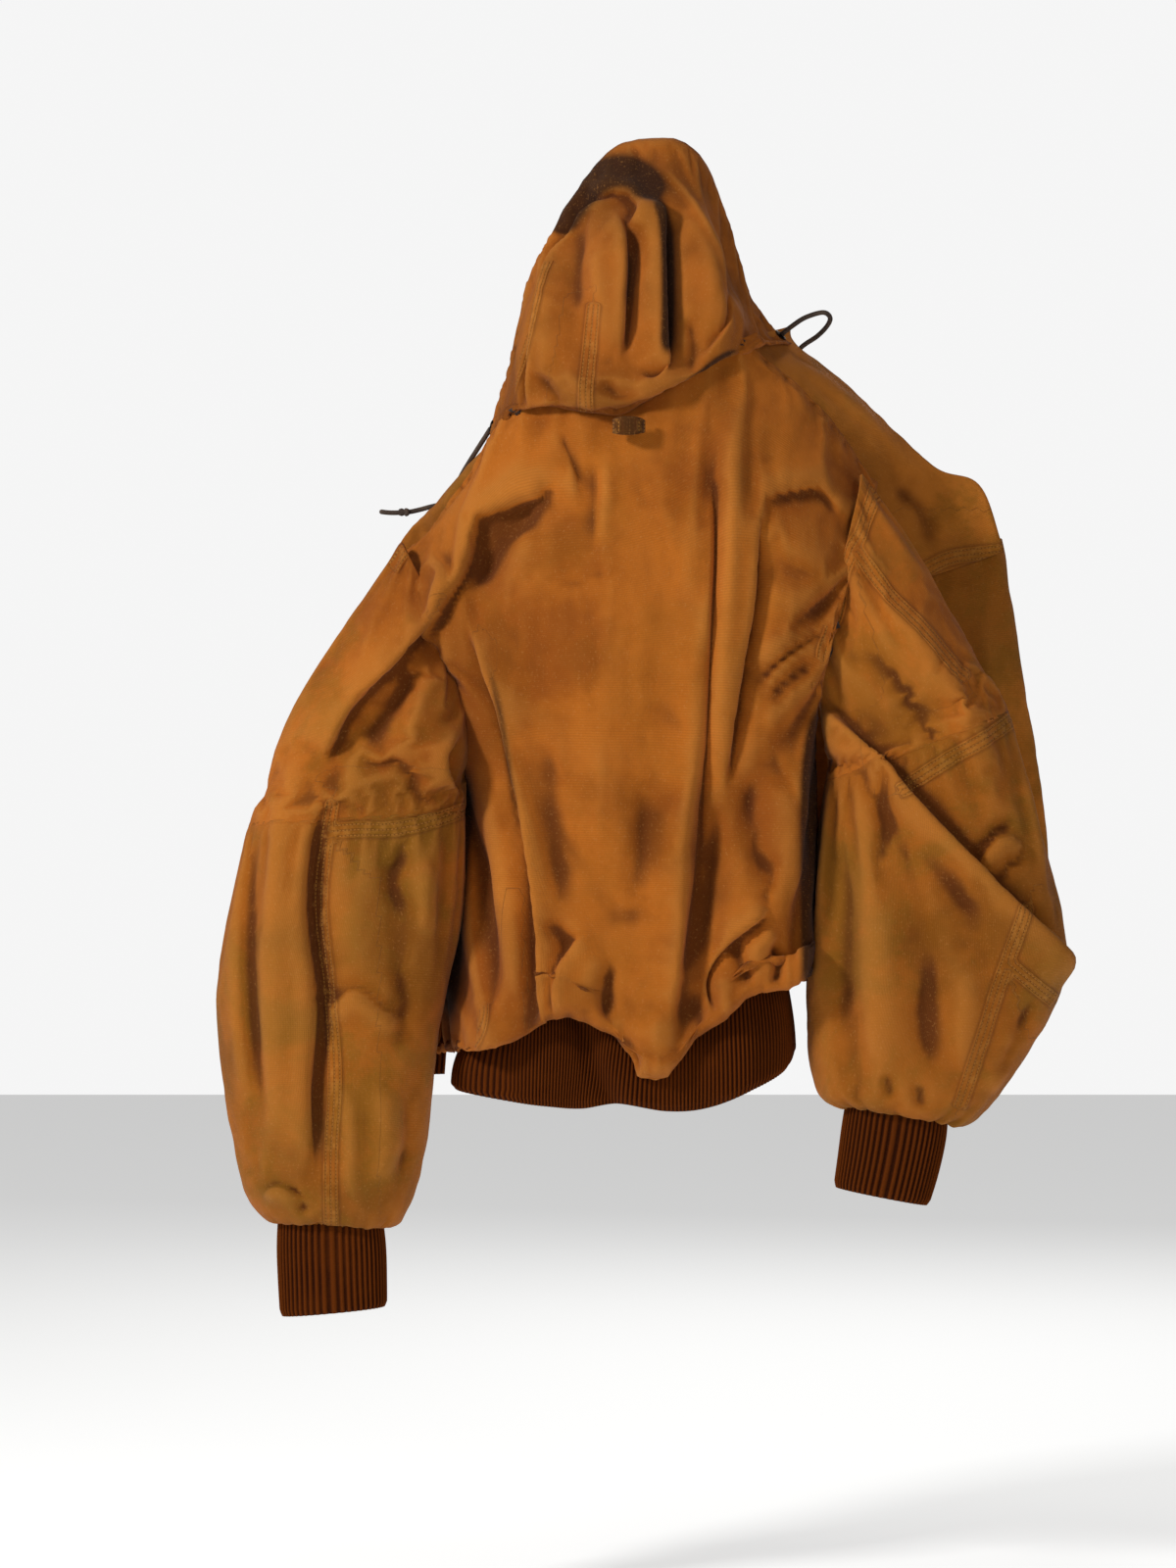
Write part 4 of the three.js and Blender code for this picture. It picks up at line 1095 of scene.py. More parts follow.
HOOD_FOLDS = [
    # The crown has collapsed: a tongue of cloth hangs between two slits.
    ("lip", [(-4, -208), (-7, -153), (-8, -99), (-8, -62), (-12, -44)], 16, 14, 0.12, 7),
    ("valley", [(1, -58), (0, -99), (1, -153), (0, -196)], 8, 26, 0.14),
    ("valley", [(-32, -56), (-31, -90), (-34, -140), (-40, -190)], 6, 12, 0.25),
    ("lip", [(-46, -196), (-44, -150), (-42, -100), (-46, -66), (-52, -46)], 14, 9, 0.25, 5),
    ("lip", [(8, -196), (-2, -210), (-16, -216), (-30, -212)], 9, 8, 0.25, 5),
    # The crown panel's edge curls over the slits.
    ("lip", [(-70, -40), (-54, -28), (-42, -30), (-30, -36), (-22, -52), (-30, -70), (-38, -66)],
     9, 13, 0.15, 6),
    ("ridge", [(14, -30), (32, -70), (40, -110), (44, -150), (38, -190)], 15, 14, 0.3),
    ("valley", [(30, -40), (50, -80), (62, -120), (66, -160)], 8, 8, 0.3),
    ("valley", [(52, -60), (68, -104), (84, -146), (98, -172)], 5, 8, 0.25),
    # The panel's side stands away from the hood's hem.
    ("lip", [(-138, -236), (-134, -196), (-122, -140), (-108, -92), (-84, -50), (-60, -34), (-42, -30)],
     3, -14, 0.12, 0),
    ("ridge", [(-96, -70), (-108, -120), (-112, -170), (-110, -215)], 15, 11, 0.3),
    ("valley", [(-80, -56), (-86, -100), (-86, -160)], 9, 8, 0.3),
    ("ridge", [(-66, -80), (-62, -140), (-60, -190)], 9, 7, 0.3),
    ("valley", [(-64, -212), (-44, -228), (-22, -230)], 7, 8, 0.3),
    ("ridge", [(-98, -198), (-78, -222), (-60, -244)], 8, 7, 0.3),
    ("valley", [(-122, -200), (-104, -226), (-94, -246)], 7, 8, 0.3),
    ("valley", [(18, -212), (24, -186), (20, -150)], 6, 8, 0.3),
    ("lip", [(66, -120), (60, -156), (48, -176), (32, -198)], 9, 8, 0.25, 5),
    # The edge of the hem band on the right.
    ("lip", [(-8, -6), (18, -34), (44, -90), (58, -135), (74, -166)], 4, 5, 0.2, 2),
]
# Painted shadow where no light reaches: the inside of the hood above its fallen crown, and the two slits.
HOOD_PAINTED_SHADOWS = [
    ("valley", [(-104, -76), (-88, -48), (-66, -24), (-40, -18), (-20, -28), (-12, -50)], 15, 1.8, 0.12),
    ("valley", [(-12, -40), (-2, -66), (1, -99), (1, -153), (-1, -200)], 6, 1.25, 0.14),
    ("valley", [(-34, -84), (-34, -120), (-38, -160)], 4, 0.6, 0.3),
    ("valley", [(-140, -247), (-104, -249), (-62, -256), (-42, -257), (-22, -247), (14, -224), (46, -199),
                (66, -188)], 3, 0.8, 0.05),
]


def hood_at(s, t):
    rim, neck = run(RIM, s), run(NECK, s)
    p = rim + (neck - rim) * t[:, None]
    rise = np.sin(np.pi * t) ** 0.9
    p[:, 1] -= run(BULGE, s) * rise
    p[:, 0] += run(SPREAD, s) * rise
    # The cloth rolls over its neck seam and turns in under itself.
    roll = smooth(t, 0.9, 1.0)
    p[:, 1] += 13 * roll - 5 * smooth(t, 0.7, 0.92)
    p[:, 2] += 8 * roll ** 2
    return p


def hood_points(u, v, p, n):
    facing = smooth(-n[:, 1], 0.0, 0.5)
    keep = smooth(v, 0.0, 0.1) * smooth(1 - v, 0.0, 0.05)
    return folded(p, n, built(HOOD_FOLDS), (0.3 + 0.7 * facing) * keep, crumple(p, sizes().crumple / MM, 13.0))


def hood_bend(ob):
    """Reads the axis of the hood's fold joint at its neck seam, and bakes the piece's transform into its mesh."""
    joint = next(j for j in frame["joints"] if j["name"] == "hood_fold")
    axis = Vector(joint["axis"]).normalized()
    up = axis.cross(Vector((0, -1, 0))).normalized()
    if up.z < 0:
        up = -up
    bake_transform(ob)


class JACKET_OT_hood(bpy.types.Operator):
    """Hood of three panels with its corded hem, and the lining inside it"""

    bl_idname = "jacket.hood"
    bl_label = "Hood"

    def execute(self, context):
        size = sizes()
        seams = [
            (Path([(-74, -250), (-74, -216), (-71, -176), (-68, -144)]), -1),
            (Path([(-160, -250), (-136, -184), (-120, -114), (-99, -76), (-73, -36), (-42, -4), (-14, 2)]), -1),
        ]
        shell = cloth_object("hood_shell", hood_at, 150, 76, (0.8, 0.3), outward=to_back,
                             shape=hood_points, seams=seams, thick=size.canvas)
        settle(shell, edges_held(shell, (0.8, 0.3)), grow=0.05, cap=7)
        paint_shadows(shell, HOOD_PAINTED_SHADOWS)
        dress(shell, "hood", "canvas", None,
              "hood_panel_left", "hood_panel_centre", "hood_panel_right", "hood_casing")
        hood_bend(shell)
        inner = lined(shell, "hood_lining_quilt", 5.0, (0.13, 0.88), size.lining, 0.1)
        dress(inner, "lining", "lining", None, "hood_lining")
        hood_bend(inner)
        return {"FINISHED"}


# ---------------------------------------------------------------- sleeves
# Stations down each sleeve; the elbow's seam runs round it at the station numbered in ELBOW.
SLEEVE_LEFT = [
    (-182, -476, -244, -362, -44, 26), (-184, -486, -254, -376, -46, 34), (-181, -498, -274, -404, -47, 46),
    (-179, -518, -304, -446, -47, 56), (-180, -546, -338, -502, -46, 60), (-183, -580, -364, -562, -45, 60),
    (-186, -612, -384, -624, -45, 61), (-186, -660, -396, -666, -45, 63), (-190, -706, -408, -712, -45, 63),
    (-202, -764, -415, -768, -45, 62), (-214, -832, -411, -837, -45, 60), (-220, -900, -400, -900, -45, 55),
    (-230, -950, -388, -952, -45, 46), (-244, -982, -374, -976, -45, 38), (-255, -991, -364, -985, -45, 31),
    (-261, -987, -358, -981, -45, 26),
]
CUFF_LEFT = [
    (-263, -976, -356, -970, -45, 24), (-260, -1010, -357, -1008, -45, 27), (-259, -1042, -356, -1042, -45, 27),
    (-258, -1066, -355, -1075, -45, 26),
]
SLEEVE_RIGHT = [
    (134, -488, 180, -300, -58, 26), (140, -498, 192, -316, -58, 32), (146, -514, 214, -344, -54, 42),
    (150, -540, 256, -410, -50, 54), (150, -562, 294, -472, -48, 60), (147, -584, 316, -520, -48, 62),
    (142, -618, 332, -572, -48, 63), (136, -662, 352, -640, -48, 63), (132, -712, 366, -704, -48, 62),
    (130, -765, 368, -760, -48, 61), (132, -826, 338, -818, -48, 52), (140, -862, 302, -870, -48, 43),
    (156, -877, 276, -895, -48, 34), (165, -874, 262, -890, -48, 26),
]
ELBOW = {"left": 6, "right": 5}
CUFF_RIGHT = [
    (168, -868, 259, -886, -48, 24), (164, -896, 256, -912, -48, 26), (160, -926, 249, -944, -48, 26),
    (155, -956, 241, -973, -48, 25),
]
LEFT_ARM_FOLDS = [
    # The cap of the sleeve rolls over its inner side.
    ("lip", [(-318, -560), (-300, -520), (-282, -496), (-252, -466), (-226, -436), (-206, -410)],
     26, 15, 0.15, 8),
    ("valley", [(-226, -470), (-250, -508), (-276, -552)], 12, 12, 0.25),
    ("ridge", [(-200, -520), (-208, -560), (-214, -600)], 12, 8, 0.3),
    ("lip", [(-190, -596), (-206, -576), (-208, -550), (-192, -532)], 8, 8, 0.3, 4),
    # Long soft lobes down the outer side.
    ("ridge", [(-312, -500), (-338, -560), (-352, -640), (-362, -740), (-358, -850), (-348, -930)], 15, 10, 0.25),
    ("lip", [(-326, -940), (-330, -860), (-324, -780), (-334, -700), (-330, -640), (-314, -590)],
     20, 10, 0.2, 6),
    ("valley", [(-306, -600), (-322, -690), (-314, -780), (-322, -860), (-318, -930)], 8, 9, 0.25),
    ("ridge", [(-384, -660), (-394, -740), (-388, -830), (-374, -900)], 10, 7, 0.3),
    ("valley", [(-378, -620), (-384, -700), (-378, -800), (-366, -880)], 7, 8, 0.3),
    # The slack over the forearm.
    ("valley", [(-228, -640), (-250, -668), (-238, -704)], 8, 8, 0.3),
    ("ridge", [(-214, -650), (-224, -690), (-216, -724)], 11, 8, 0.3),
    ("lip", [(-236, -802), (-262, -792), (-284, -774), (-300, -786), (-318, -780)], 9, 8, 0.25, 4),
    ("valley", [(-250, -740), (-238, -780), (-250, -830)], 9, 7, 0.3),
    ("ridge", [(-262, -850), (-256, -900), (-268, -950)], 12, 7, 0.3),
    ("valley", [(-238, -860), (-236, -910), (-246, -950)], 7, 6, 0.3),
    ("ridge", [(-292, -850), (-288, -900), (-292, -960)], 8, 5, 0.3),
    ("valley", [(-344, -944), (-336, -962), (-326, -972)], 5, 7, 0.25),
    ("lip", [(-330, -966), (-344, -956), (-356, -952), (-368, -958)], 8, 7, 0.25, 4),
]
LEFT_ARM_SEAMS = [
    (Path([(-306, -628), (-280, -626), (-252, -626), (-220, -620), (-184, -608)]), -1),
    (Path([(-304, -600), (-310, -640), (-315, -693), (-308, -765), (-302, -846), (-306, -918), (-306, -984)]), -1),
    (Path([(-252, -384), (-240, -371), (-225, -369), (-212, -382), (-202, -398)]), -1),
]
RIGHT_ARM_FOLDS = [
    # The upper side of the sleeve rolls down over the forearm.
    ("lip", [(372, -758), (330, -712), (288, -668), (250, -628), (212, -588), (176, -548), (142, -508)],
     28, 17, 0.08, 10),
    ("valley", [(150, -552), (184, -592), (222, -634), (262, -676), (300, -716)], 15, 12, 0.2),
    ("ridge", [(200, -400), (240, -460), (276, -530), (306, -580)], 16, 9, 0.3),
    ("valley", [(184, -450), (220, -506), (252, -560)], 11, 7, 0.3),
    ("lip", [(330, -640), (306, -636), (292, -652), (300, -668)], 7, 8, 0.3, 5),
    ("valley", [(280, -650), (296, -626), (322, -614)], 5, 7, 0.3),
    ("ridge", [(320, -560), (334, -610), (348, -670)], 9, 6, 0.3),
    ("valley", [(174, -620), (164, -690), (160, -760), (166, -830)], 14, 8, 0.3),
    ("ridge", [(206, -660), (196, -730), (194, -800), (204, -856)], 18, 9, 0.3),
    ("valley", [(248, -720), (238, -780), (240, -850)], 9, 8, 0.3),
    ("ridge", [(276, -730), (272, -790), (262, -850)], 10, 6, 0.3),
    ("valley", [(186, -596), (202, -622), (192, -660)], 8, 6, 0.3),
    ("ridge", [(326, -790), (304, -836), (282, -876)], 8, 7, 0.3),
    ("valley", [(336, -770), (318, -812), (296, -850)], 5, 7, 0.3),
    ("valley", [(200, -842), (206, -868)], 5, 6, 0.3),
    ("valley", [(230, -850), (234, -878)], 5, 6, 0.3),
]
RIGHT_ARM_SEAMS = [
    (Path([(212, -590), (252, -564), (286, -545), (322, -522)]), -1),
    (Path([(328, -690), (306, -756), (288, -810), (268, -874)]), -1),
    (Path([(310, -742), (330, -758), (354, -778)]), -1),
    (Path([(174, -371), (202, -405), (238, -441), (274, -486)]), -1),
    (Path([(196, -303), (180, -351), (169, -371), (158, -405), (153, -432), (140, -464), (135, -495)]), -1),
]


def sleeve_points(folds, seed):
    made = built(folds)

    def shape(u, v, p, n):
        front = smooth(-n[:, 1], 0.0, 0.45)
        behind = fold_height(made, p[:, [0, 2]] + np.array([14.0, 22.0]))[0] * smooth(n[:, 1], 0.1, 0.6)
        h = behind * 0.4 + crumple(p, sizes().crumple / MM * 1.1, seed)
        depth = np.abs(0.93 - v) * 700
        h = h + gathers(np.cos(2 * np.pi * u) + 2, depth, seed, 3.2, 11)
        h = h + gathers(np.sin(2 * np.pi * u) + 2, depth, seed + 5, 3.2, 11)
        return folded(p, n, made, front, h)
    return shape


class JACKET_OT_sleeves(bpy.types.Operator):
    """Both sleeves, each of an upper and a lower tube of canvas with a lining"""

    bl_idname = "jacket.sleeves"
    bl_label = "Sleeves"

    def execute(self, context):
        size = sizes()
        for side, stations, folds, seams in (
            ("left", SLEEVE_LEFT, LEFT_ARM_FOLDS, LEFT_ARM_SEAMS),
            ("right", SLEEVE_RIGHT, RIGHT_ARM_FOLDS, RIGHT_ARM_SEAMS),
        ):
            whole = tube(stations)
            last = len(stations) - 1
            elbow = ELBOW[side] / last
            shape = sleeve_points(folds, 20.0 if side == "left" else 23.0)
            upper = self.stretch(f"sleeve_upper_{side}_shell", whole, 0.0, elbow, 84, (0.48, 0.26), shape,
                                 seams, size)
            dress(upper, "sleeve", "canvas", None, f"sleeve_upper_{side}")
            upper_in = lined(upper, f"sleeve_upper_lining_{side}_quilt", 5.2, (0.2, 0.98), size.lining)
            dress(upper_in, "lining", "lining", None, f"sleeve_upper_lining_{side}")
            lower = self.stretch(f"sleeve_lower_{side}_shell", whole, elbow - 0.004, 1.0, 110, (0.46, 0.38),
                                 shape, seams, size)
            dress(lower, "forearm", "canvas_dark", None, f"sleeve_lower_{side}")
            lower_in = lined(lower, f"sleeve_lower_lining_{side}_quilt", 5.2, (0.02, 0.84), size.lining)
            dress(lower_in, "lining", "lining", None, f"sleeve_lower_lining_{side}")

            def middle(k, stations=stations):
                a, b, c, d, _, _ = stations[k]
                return np.array([(a + c) / 2, 0, (b + d) / 2]) * MM

            for ob in (upper, upper_in):
                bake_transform(ob)
            for ob in (lower, lower_in):
                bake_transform(ob)
        return {"FINISHED"}

    def stretch(self, name, whole, v0, v1, rows, flat, shape, seams, size):
        """One length of the sleeve, from v0 to v1 of the whole, settled between its sewn ends."""
        at = part_of(whole, v0, v1)
        ob = cloth_object(name, at, 128, rows, flat, close=True, outward=from_axis,
                          shape=lambda u, v, p, n: shape(u, v0 + (v1 - v0) * v, p, n), seams=seams,
                          thick=size.canvas)
        settle(ob, edges_held(ob, flat, False, False), grow=0.045, cap=6)
        return ob


class JACKET_OT_cuffs(bpy.types.Operator):
    """Rib-knit cuffs"""

    bl_idname = "jacket.cuffs"
    bl_label = "Cuffs"

    def execute(self, context):
        for side, rows in (("left", CUFF_LEFT), ("right", CUFF_RIGHT)):
            def slack(u, v, p, n):
                wave = 1.2 * np.sin(2 * np.pi * (u * 2 + 0.2)) * np.sin(np.pi * v)
                return p + n * (wave - 2.0 * smooth(v, 0.94, 1.0))[:, None]

            cuff = rib_object(f"cuff_{side}_rib", tube(rows, 0.85), 215, 88, 8, 30, from_axis,
                              close=True, shape=slack)
            dress(cuff, "rib", "rib", f"forearm_{side}", f"cuff_{side}")
        return {"FINISHED"}


# ---------------------------------------------------------------- fronts
def front_rows(rows, zip_x, out):
    """Rows of a front: from the side seam to its fold, and back behind it to the zip."""
    made = []
    for z_seam, x_seam, z_fold, x_fold, z_zip in rows:
        def part(f):
            return x_seam + (x_fold - out * 9 - x_seam) * f

        def fall(f):
            return z_seam + (z_fold - z_seam) * f

        made.append([
            (x_seam, 44, z_seam), (part(0.33), 47, fall(0.33)), (part(0.66), 50, fall(0.66)),
            (part(1), 53, fall(1)), (x_fold, 69, z_fold), (x_fold - out * 9, 84, z_fold), (zip_x, 88, z_zip),
        ])
    return made


FRONTS = {
    "right": (front_rows([
        (-392, 205, -354, 320, -376), (-514, 134, -508, 343, -508), (-630, 133, -630, 361, -630),
        (-732, 133, -732, 356, -732), (-782, 135, -782, 340, -786), (-798, 138, -798, 328, -800),
    ], 300, 1), 1),
    "left": (front_rows([
        (-390, -214, -382, -265, -392), (-514, -184, -510, -328, -510), (-630, -185, -630, -367, -630),
        (-732, -197, -732, -376, -732), (-782, -203, -782, -358, -786), (-798, -206, -798, -344, -800),
    ], -250, -1), -1),
}
FRONT_BANDS = {
    "right": front_rows([(-792, 140, -792, 326, -796), (-824, 138, -826, 322, -828),
                         (-858, 140, -862, 314, -862)], 300, 1),
    "left": front_rows([(-792, -208, -792, -342, -796), (-824, -206, -826, -338, -828),
                        (-858, -208, -862, -330, -862)], -250, -1),
}


def front_bend(ob):
    """A front hangs from its yoke; this bakes the piece's transform into its mesh."""
    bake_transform(ob)


class JACKET_OT_fronts(bpy.types.Operator):
    """Both fronts, swung open, each with its lining, rib hem and patch pocket"""

    bl_idname = "jacket.fronts"
    bl_label = "Fronts"

    def execute(self, context):
        size = sizes()
        for side, (rows, out) in FRONTS.items():
            made = built([
                ("ridge", [(out * 300, -400), (out * 310, -520), (out * 318, -640)], 14, 5, 0.3),
                ("valley", [(out * 240, -420), (out * 230, -540), (out * 250, -700)], 16, 4, 0.3),
                ("ridge", [(out * 170, -520), (out * 180, -650), (out * 170, -760)], 16, 4, 0.3),
            ])

            def shape(u, v, p, n, made=made):
                h = fold_height(made, p[:, [0, 2]])[0] * smooth(v, 0.0, 0.06)
                h = h + crumple(p, size.crumple / MM, 31.0) + gathers(u, (1 - v) * 400, 9.0, 2.6, 30)
                return p + n * (h * smooth(1 - u, 0.0, 0.05))[:, None]

            def outer(p, n, out=out):
                # The main part faces -Y, so the side seam's end tells which way is out.
                return -1.0 if n[p[:, 1] < 48][:, 1].mean() > 0 else 1.0

            seams = [(Path([(rows[0][0][0], rows[0][0][2] - 4), (rows[0][4][0], rows[0][4][2] - 4)]), -1)]
            shell = cloth_object(f"front_{side}_shell", surface(rows), 110, 112, (0.34, 0.42), outward=outer,
                                 shape=shape, seams=seams, thick=size.canvas)
            dress(shell, "front", "canvas_worn", None, f"front_panel_{side}")
            front_bend(shell)
            inner = lined(shell, f"front_lining_{side}_quilt", 3.6, (0.0, 0.96), size.lining)
            dress(inner, "lining", "lining", None, f"front_lining_{side}")
            front_bend(inner)
            band = rib_object(f"waistband_{side}_rib", surface(FRONT_BANDS[side]), 270 if side == "right" else 215,
                              70, 6, 18, outer)
            dress(band, "rib", "rib", f"front_{side}", f"waistband_front_{side}")
            self.pocket(side, out, rows, outer)
        return {"FINISHED"}

    def pocket(self, side, out, rows, outer):
        """A patch pocket, open at the side seam's end, with a stitched edge all round."""
        at = surface(rows)
        u0, u1, v0, v1 = 0.12, 0.44, 0.42, 0.78

        def patch(u, v):
            return at(u0 + (u1 - u0) * u, v0 + (v1 - v0) * v)

        def shape(u, v, p, n):
            sides = np.minimum.reduce([np.ones(len(u)), 4 * (1 - u), 5 * v, 5 * (1 - v)])
            h = 2.4 + 12.5 * np.sin(np.pi / 2 * np.clip(sides, 0, 1))
            return p + n * (h + crumple(p, 0.9, 40.0))[:, None]

        lo = at(np.array([u0]), np.array([v1]))[0]
        hi = at(np.array([u1]), np.array([v0]))[0]
        seams = [
            (Path([(lo[0], hi[2] - 8), (hi[0], hi[2] - 8)]), 0), (Path([(lo[0], lo[2] + 8), (hi[0], lo[2] + 8)]), 0),
            (Path([(hi[0] - out * 8, hi[2]), (hi[0] - out * 8, lo[2])]), 0),
            (Path([(lo[0] + out * 9, hi[2]), (lo[0] + out * 9, lo[2])]), 0),
        ]
        ob = cloth_object(f"pocket_{side}_patch", patch, 44, 46, (0.14, 0.15), outward=outer,
                          shape=shape, seams=seams, thick=0.0022)
        dress(ob, "front", "canvas_worn", f"front_{side}", f"pocket_{side}")


# ---------------------------------------------------------------- drawcord, knots, eyelets
def cord_route(side):
    """Route of each free end of the drawcord, in millimetres."""
    if side == "left":
        eye = np.array([v for v in (np.array(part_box("eyelet_left")[0]) + np.array(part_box("eyelet_left")[1])) / 2]) / MM
        return [tuple(eye)] + CORD_LEFT
    eye = (np.array(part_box("eyelet_right")[0]) + np.array(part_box("eyelet_right")[1])) / 2 / MM
    return [tuple(eye)] + CORD_RIGHT


CORD_LEFT = [(-186, 6, -290), (-196, 28, -306), (-206, 35, -320), (-222, 38, -325), (-238, 38, -329),
             (-250, 38, -330), (-259, 38, -330), (-268, 38, -329)]
CORD_RIGHT = [(118, -22, -160), (130, -16, -152), (146, -12, -147), (153, -8, -151), (151, -2, -158),
              (142, 8, -167), (128, 20, -176), (116, 26, -190), (112, 28, -205), (112, 28, -214)]


def swept(name, route, diameter, body, around=12, step=1.6):
    """A round cord swept along a route, as a mesh tube with its length along UV's second axis."""
    pts = np.array(route, float)
    fine = run(pts, np.linspace(0, 1, 40 * (len(pts) - 1) + 1))
    along = np.concatenate([[0], np.cumsum(np.linalg.norm(np.diff(fine, axis=0), axis=1))])
    count = max(8, int(along[-1] / step))
    s = np.linspace(0, along[-1], count + 1)
    line = np.stack([np.interp(s, along, fine[:, k]) for k in range(3)], 1)
    way = np.gradient(line, axis=0)
    way /= np.linalg.norm(way, axis=1)[:, None]
    side = np.cross(way[0], (0, 0, 1.0))
    side /= np.linalg.norm(side)
    frames = []
    for w in way:
        side = side - w * (side @ w)
        side /= np.linalg.norm(side)
        frames.append((side, np.cross(w, side)))

    def at(u, v):
        k = np.clip(np.round(v * count).astype(int), 0, count)
        a = 2 * np.pi * u
        e1 = np.array([frames[i][0] for i in k])
        e2 = np.array([frames[i][1] for i in k])
        r = diameter / MM / 2
        tip = np.clip(np.minimum(k, count - k) / 1.0, 0, 1)
        rr = r * np.where(tip < 1, 0.55, 1.0)
        return line[k] + (e1 * np.cos(a)[:, None] + e2 * np.sin(a)[:, None]) * rr[:, None]

    bm = bmesh.new()
    bmesh.ops.create_grid(bm, x_segments=around, y_segments=count, size=0.5)
    uv = np.array([v.co[:2] for v in bm.verts]) + 0.5
    q = at(uv[:, 0], uv[:, 1])
    layer = bm.loops.layers.uv.new("UVMap")
    for vert, co in zip(bm.verts, q):
        vert.co = co * MM
    for f in bm.faces:
        for loop in f.loops:
            a, b = uv[loop.vert.index]
            loop[layer].uv = (a, b * along[-1] * MM)
    bmesh.ops.remove_doubles(bm, verts=bm.verts, dist=1e-6)
    bmesh.ops.holes_fill(bm, edges=[e for e in bm.edges if e.is_boundary], sides=0)
    bmesh.ops.recalc_face_normals(bm, faces=bm.faces)
    for f in bm.faces:
        f.smooth = True
    mesh = bpy.data.meshes.new(name)
    bm.to_mesh(mesh)
    bm.free()
    ob = bpy.data.objects.new(name, mesh)
    bpy.context.scene.collection.objects.link(ob)
    return ob, [tuple(p * MM) for p in line], along[-1] * MM


def knot_object(name, centre, size):
    """An overhand knot: a cord swept round itself."""
    c = np.array(centre, float)
    turns = []
    for k in range(33):
        a = 2 * math.pi * k / 32
        turns.append(c + size * np.array([
            0.62 * math.sin(a) + 0.5 * math.sin(2 * a), 0.62 * math.cos(a) - 0.5 * math.cos(2 * a),
            0.45 * -math.sin(3 * a)])[[1, 0, 2]])
    ob, _, _ = swept(name, turns, sizes().cord * 0.82, None, 10, 1.2)
    return ob


class JACKET_OT_cords(bpy.types.Operator):
    """The two free ends of the hood's drawcord, with their knots"""

    bl_idname = "jacket.cords"
    bl_label = "Drawcord"

    def execute(self, context):
        size = sizes()
        for side, knot_at, nodes in (
            ("left", (-244, 38, -329.6), ("drawcord_left", "drawcord_left_tip")),
            ("right", (112, 28, -213), ("drawcord_right",)),
        ):
            route = cord_route(side)
            ob, line, length = swept(f"drawcord_{side}_end", route, size.cord, "hood")
            dress(ob, "cord", "cord", None, *nodes)
            hood_bend(ob)
            knot = knot_object(f"cord_knot_{side}_tied", knot_at, 4.4)
            dress(knot, "cord", "cord", None, f"cord_knot_{side}")
            hood_bend(knot)
        return {"FINISHED"}


class JACKET_OT_eyelets(bpy.types.Operator):
    """Blackened eyelets at the two ends of the hood's hem"""

    bl_idname = "jacket.eyelets"
    bl_label = "Eyelets"

    def execute(self, context):
        for side in ("left", "right"):
            cad = frame["nodes"][f"eyelet_{side}"]
            co = np.array([cad.matrix_world @ v.co for v in cad.data.vertices])
            centre = co.mean(0)
            _, _, axes = np.linalg.svd(co - centre)
            normal = Vector(axes[2])
            if normal.y > 0:
                normal = -normal
            bm = bmesh.new()
            profile = [(2.9, -0.6), (2.7, 0.5), (3.2, 1.2), (4.2, 1.5), (5.4, 1.2), (6.4, 0.4), (6.6, -0.2), (5.6, -0.7)]
            verts = [bm.verts.new((r * MM, 0, h * MM)) for r, h in profile]
            edges = [bm.edges.new((verts[i], verts[(i + 1) % len(verts)])) for i in range(len(verts))]
            bmesh.ops.spin(bm, geom=verts + edges, cent=(0, 0, 0), axis=(0, 0, 1), angle=2 * math.pi,
                           steps=40, use_merge=True)
            bmesh.ops.remove_doubles(bm, verts=bm.verts, dist=1e-6)
            turn = normal.to_track_quat("Z", "Y").to_matrix()
            bmesh.ops.transform(bm, matrix=turn.to_4x4(), verts=bm.verts)
            bmesh.ops.translate(bm, vec=Vector(centre), verts=bm.verts)
            bmesh.ops.recalc_face_normals(bm, faces=bm.faces)
            for f in bm.faces:
                f.smooth = True
            mesh = bpy.data.meshes.new(f"eyelet_{side}_ring")
            bm.to_mesh(mesh)
            bm.free()
            ob = bpy.data.objects.new(f"eyelet_{side}_ring", mesh)
            bpy.context.scene.collection.objects.link(ob)
            dress(ob, "eyelet", "eyelet", None, f"eyelet_{side}")
            hood_bend(ob)
        return {"FINISHED"}


# ---------------------------------------------------------------- zip
class JACKET_OT_zip(bpy.types.Operator):
    """Zip tapes, moulded teeth, slider and pull"""

    bl_idname = "jacket.zip"
    bl_label = "Zip"

    def execute(self, context):
        for side in ("left", "right"):
            teeth = frame["nodes"][f"zip_teeth_{side}"]
            teeth.data.materials.clear()
            teeth.data.materials.append(finish_of("brass"))
            lo, hi = (np.array(c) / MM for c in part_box(f"zip_tape_{side}"))
            middle = (lo[1] + hi[1]) / 2
            rows = [[(x, middle, z) for x in (lo[0], (lo[0] + hi[0]) / 2, hi[0])]
                    for z in (hi[2], (lo[2] + hi[2]) / 2, lo[2])]

            def shape(u, v, p, n):
                # The corded edge stands up a little, and the tape puckers along its stitching.
                edge = np.minimum(u, 1 - u) * 14
                h = 0.35 * np.exp(-(edge / 0.8) ** 2) + 0.22 * np.sin(v * 420) * smooth(edge, 1.0, 3.0)
                return p + n * h[:, None]

            tape = cloth_object(f"zip_tape_{side}_strip", surface(rows), 14, 260, (hi[0] * MM - lo[0] * MM, 0.42),
                                outward=to_front, shape=shape, thick=0.0009, offset=0.0, soften=0)
            dress(tape, "tape", "tape", f"front_{side}", f"zip_tape_{side}")
        for node in ("zip_slider", "zip_pull"):
            ob = frame["nodes"][node]
            ob.data.materials.clear()
            ob.data.materials.append(finish_of("brass"))
        return {"FINISHED"}


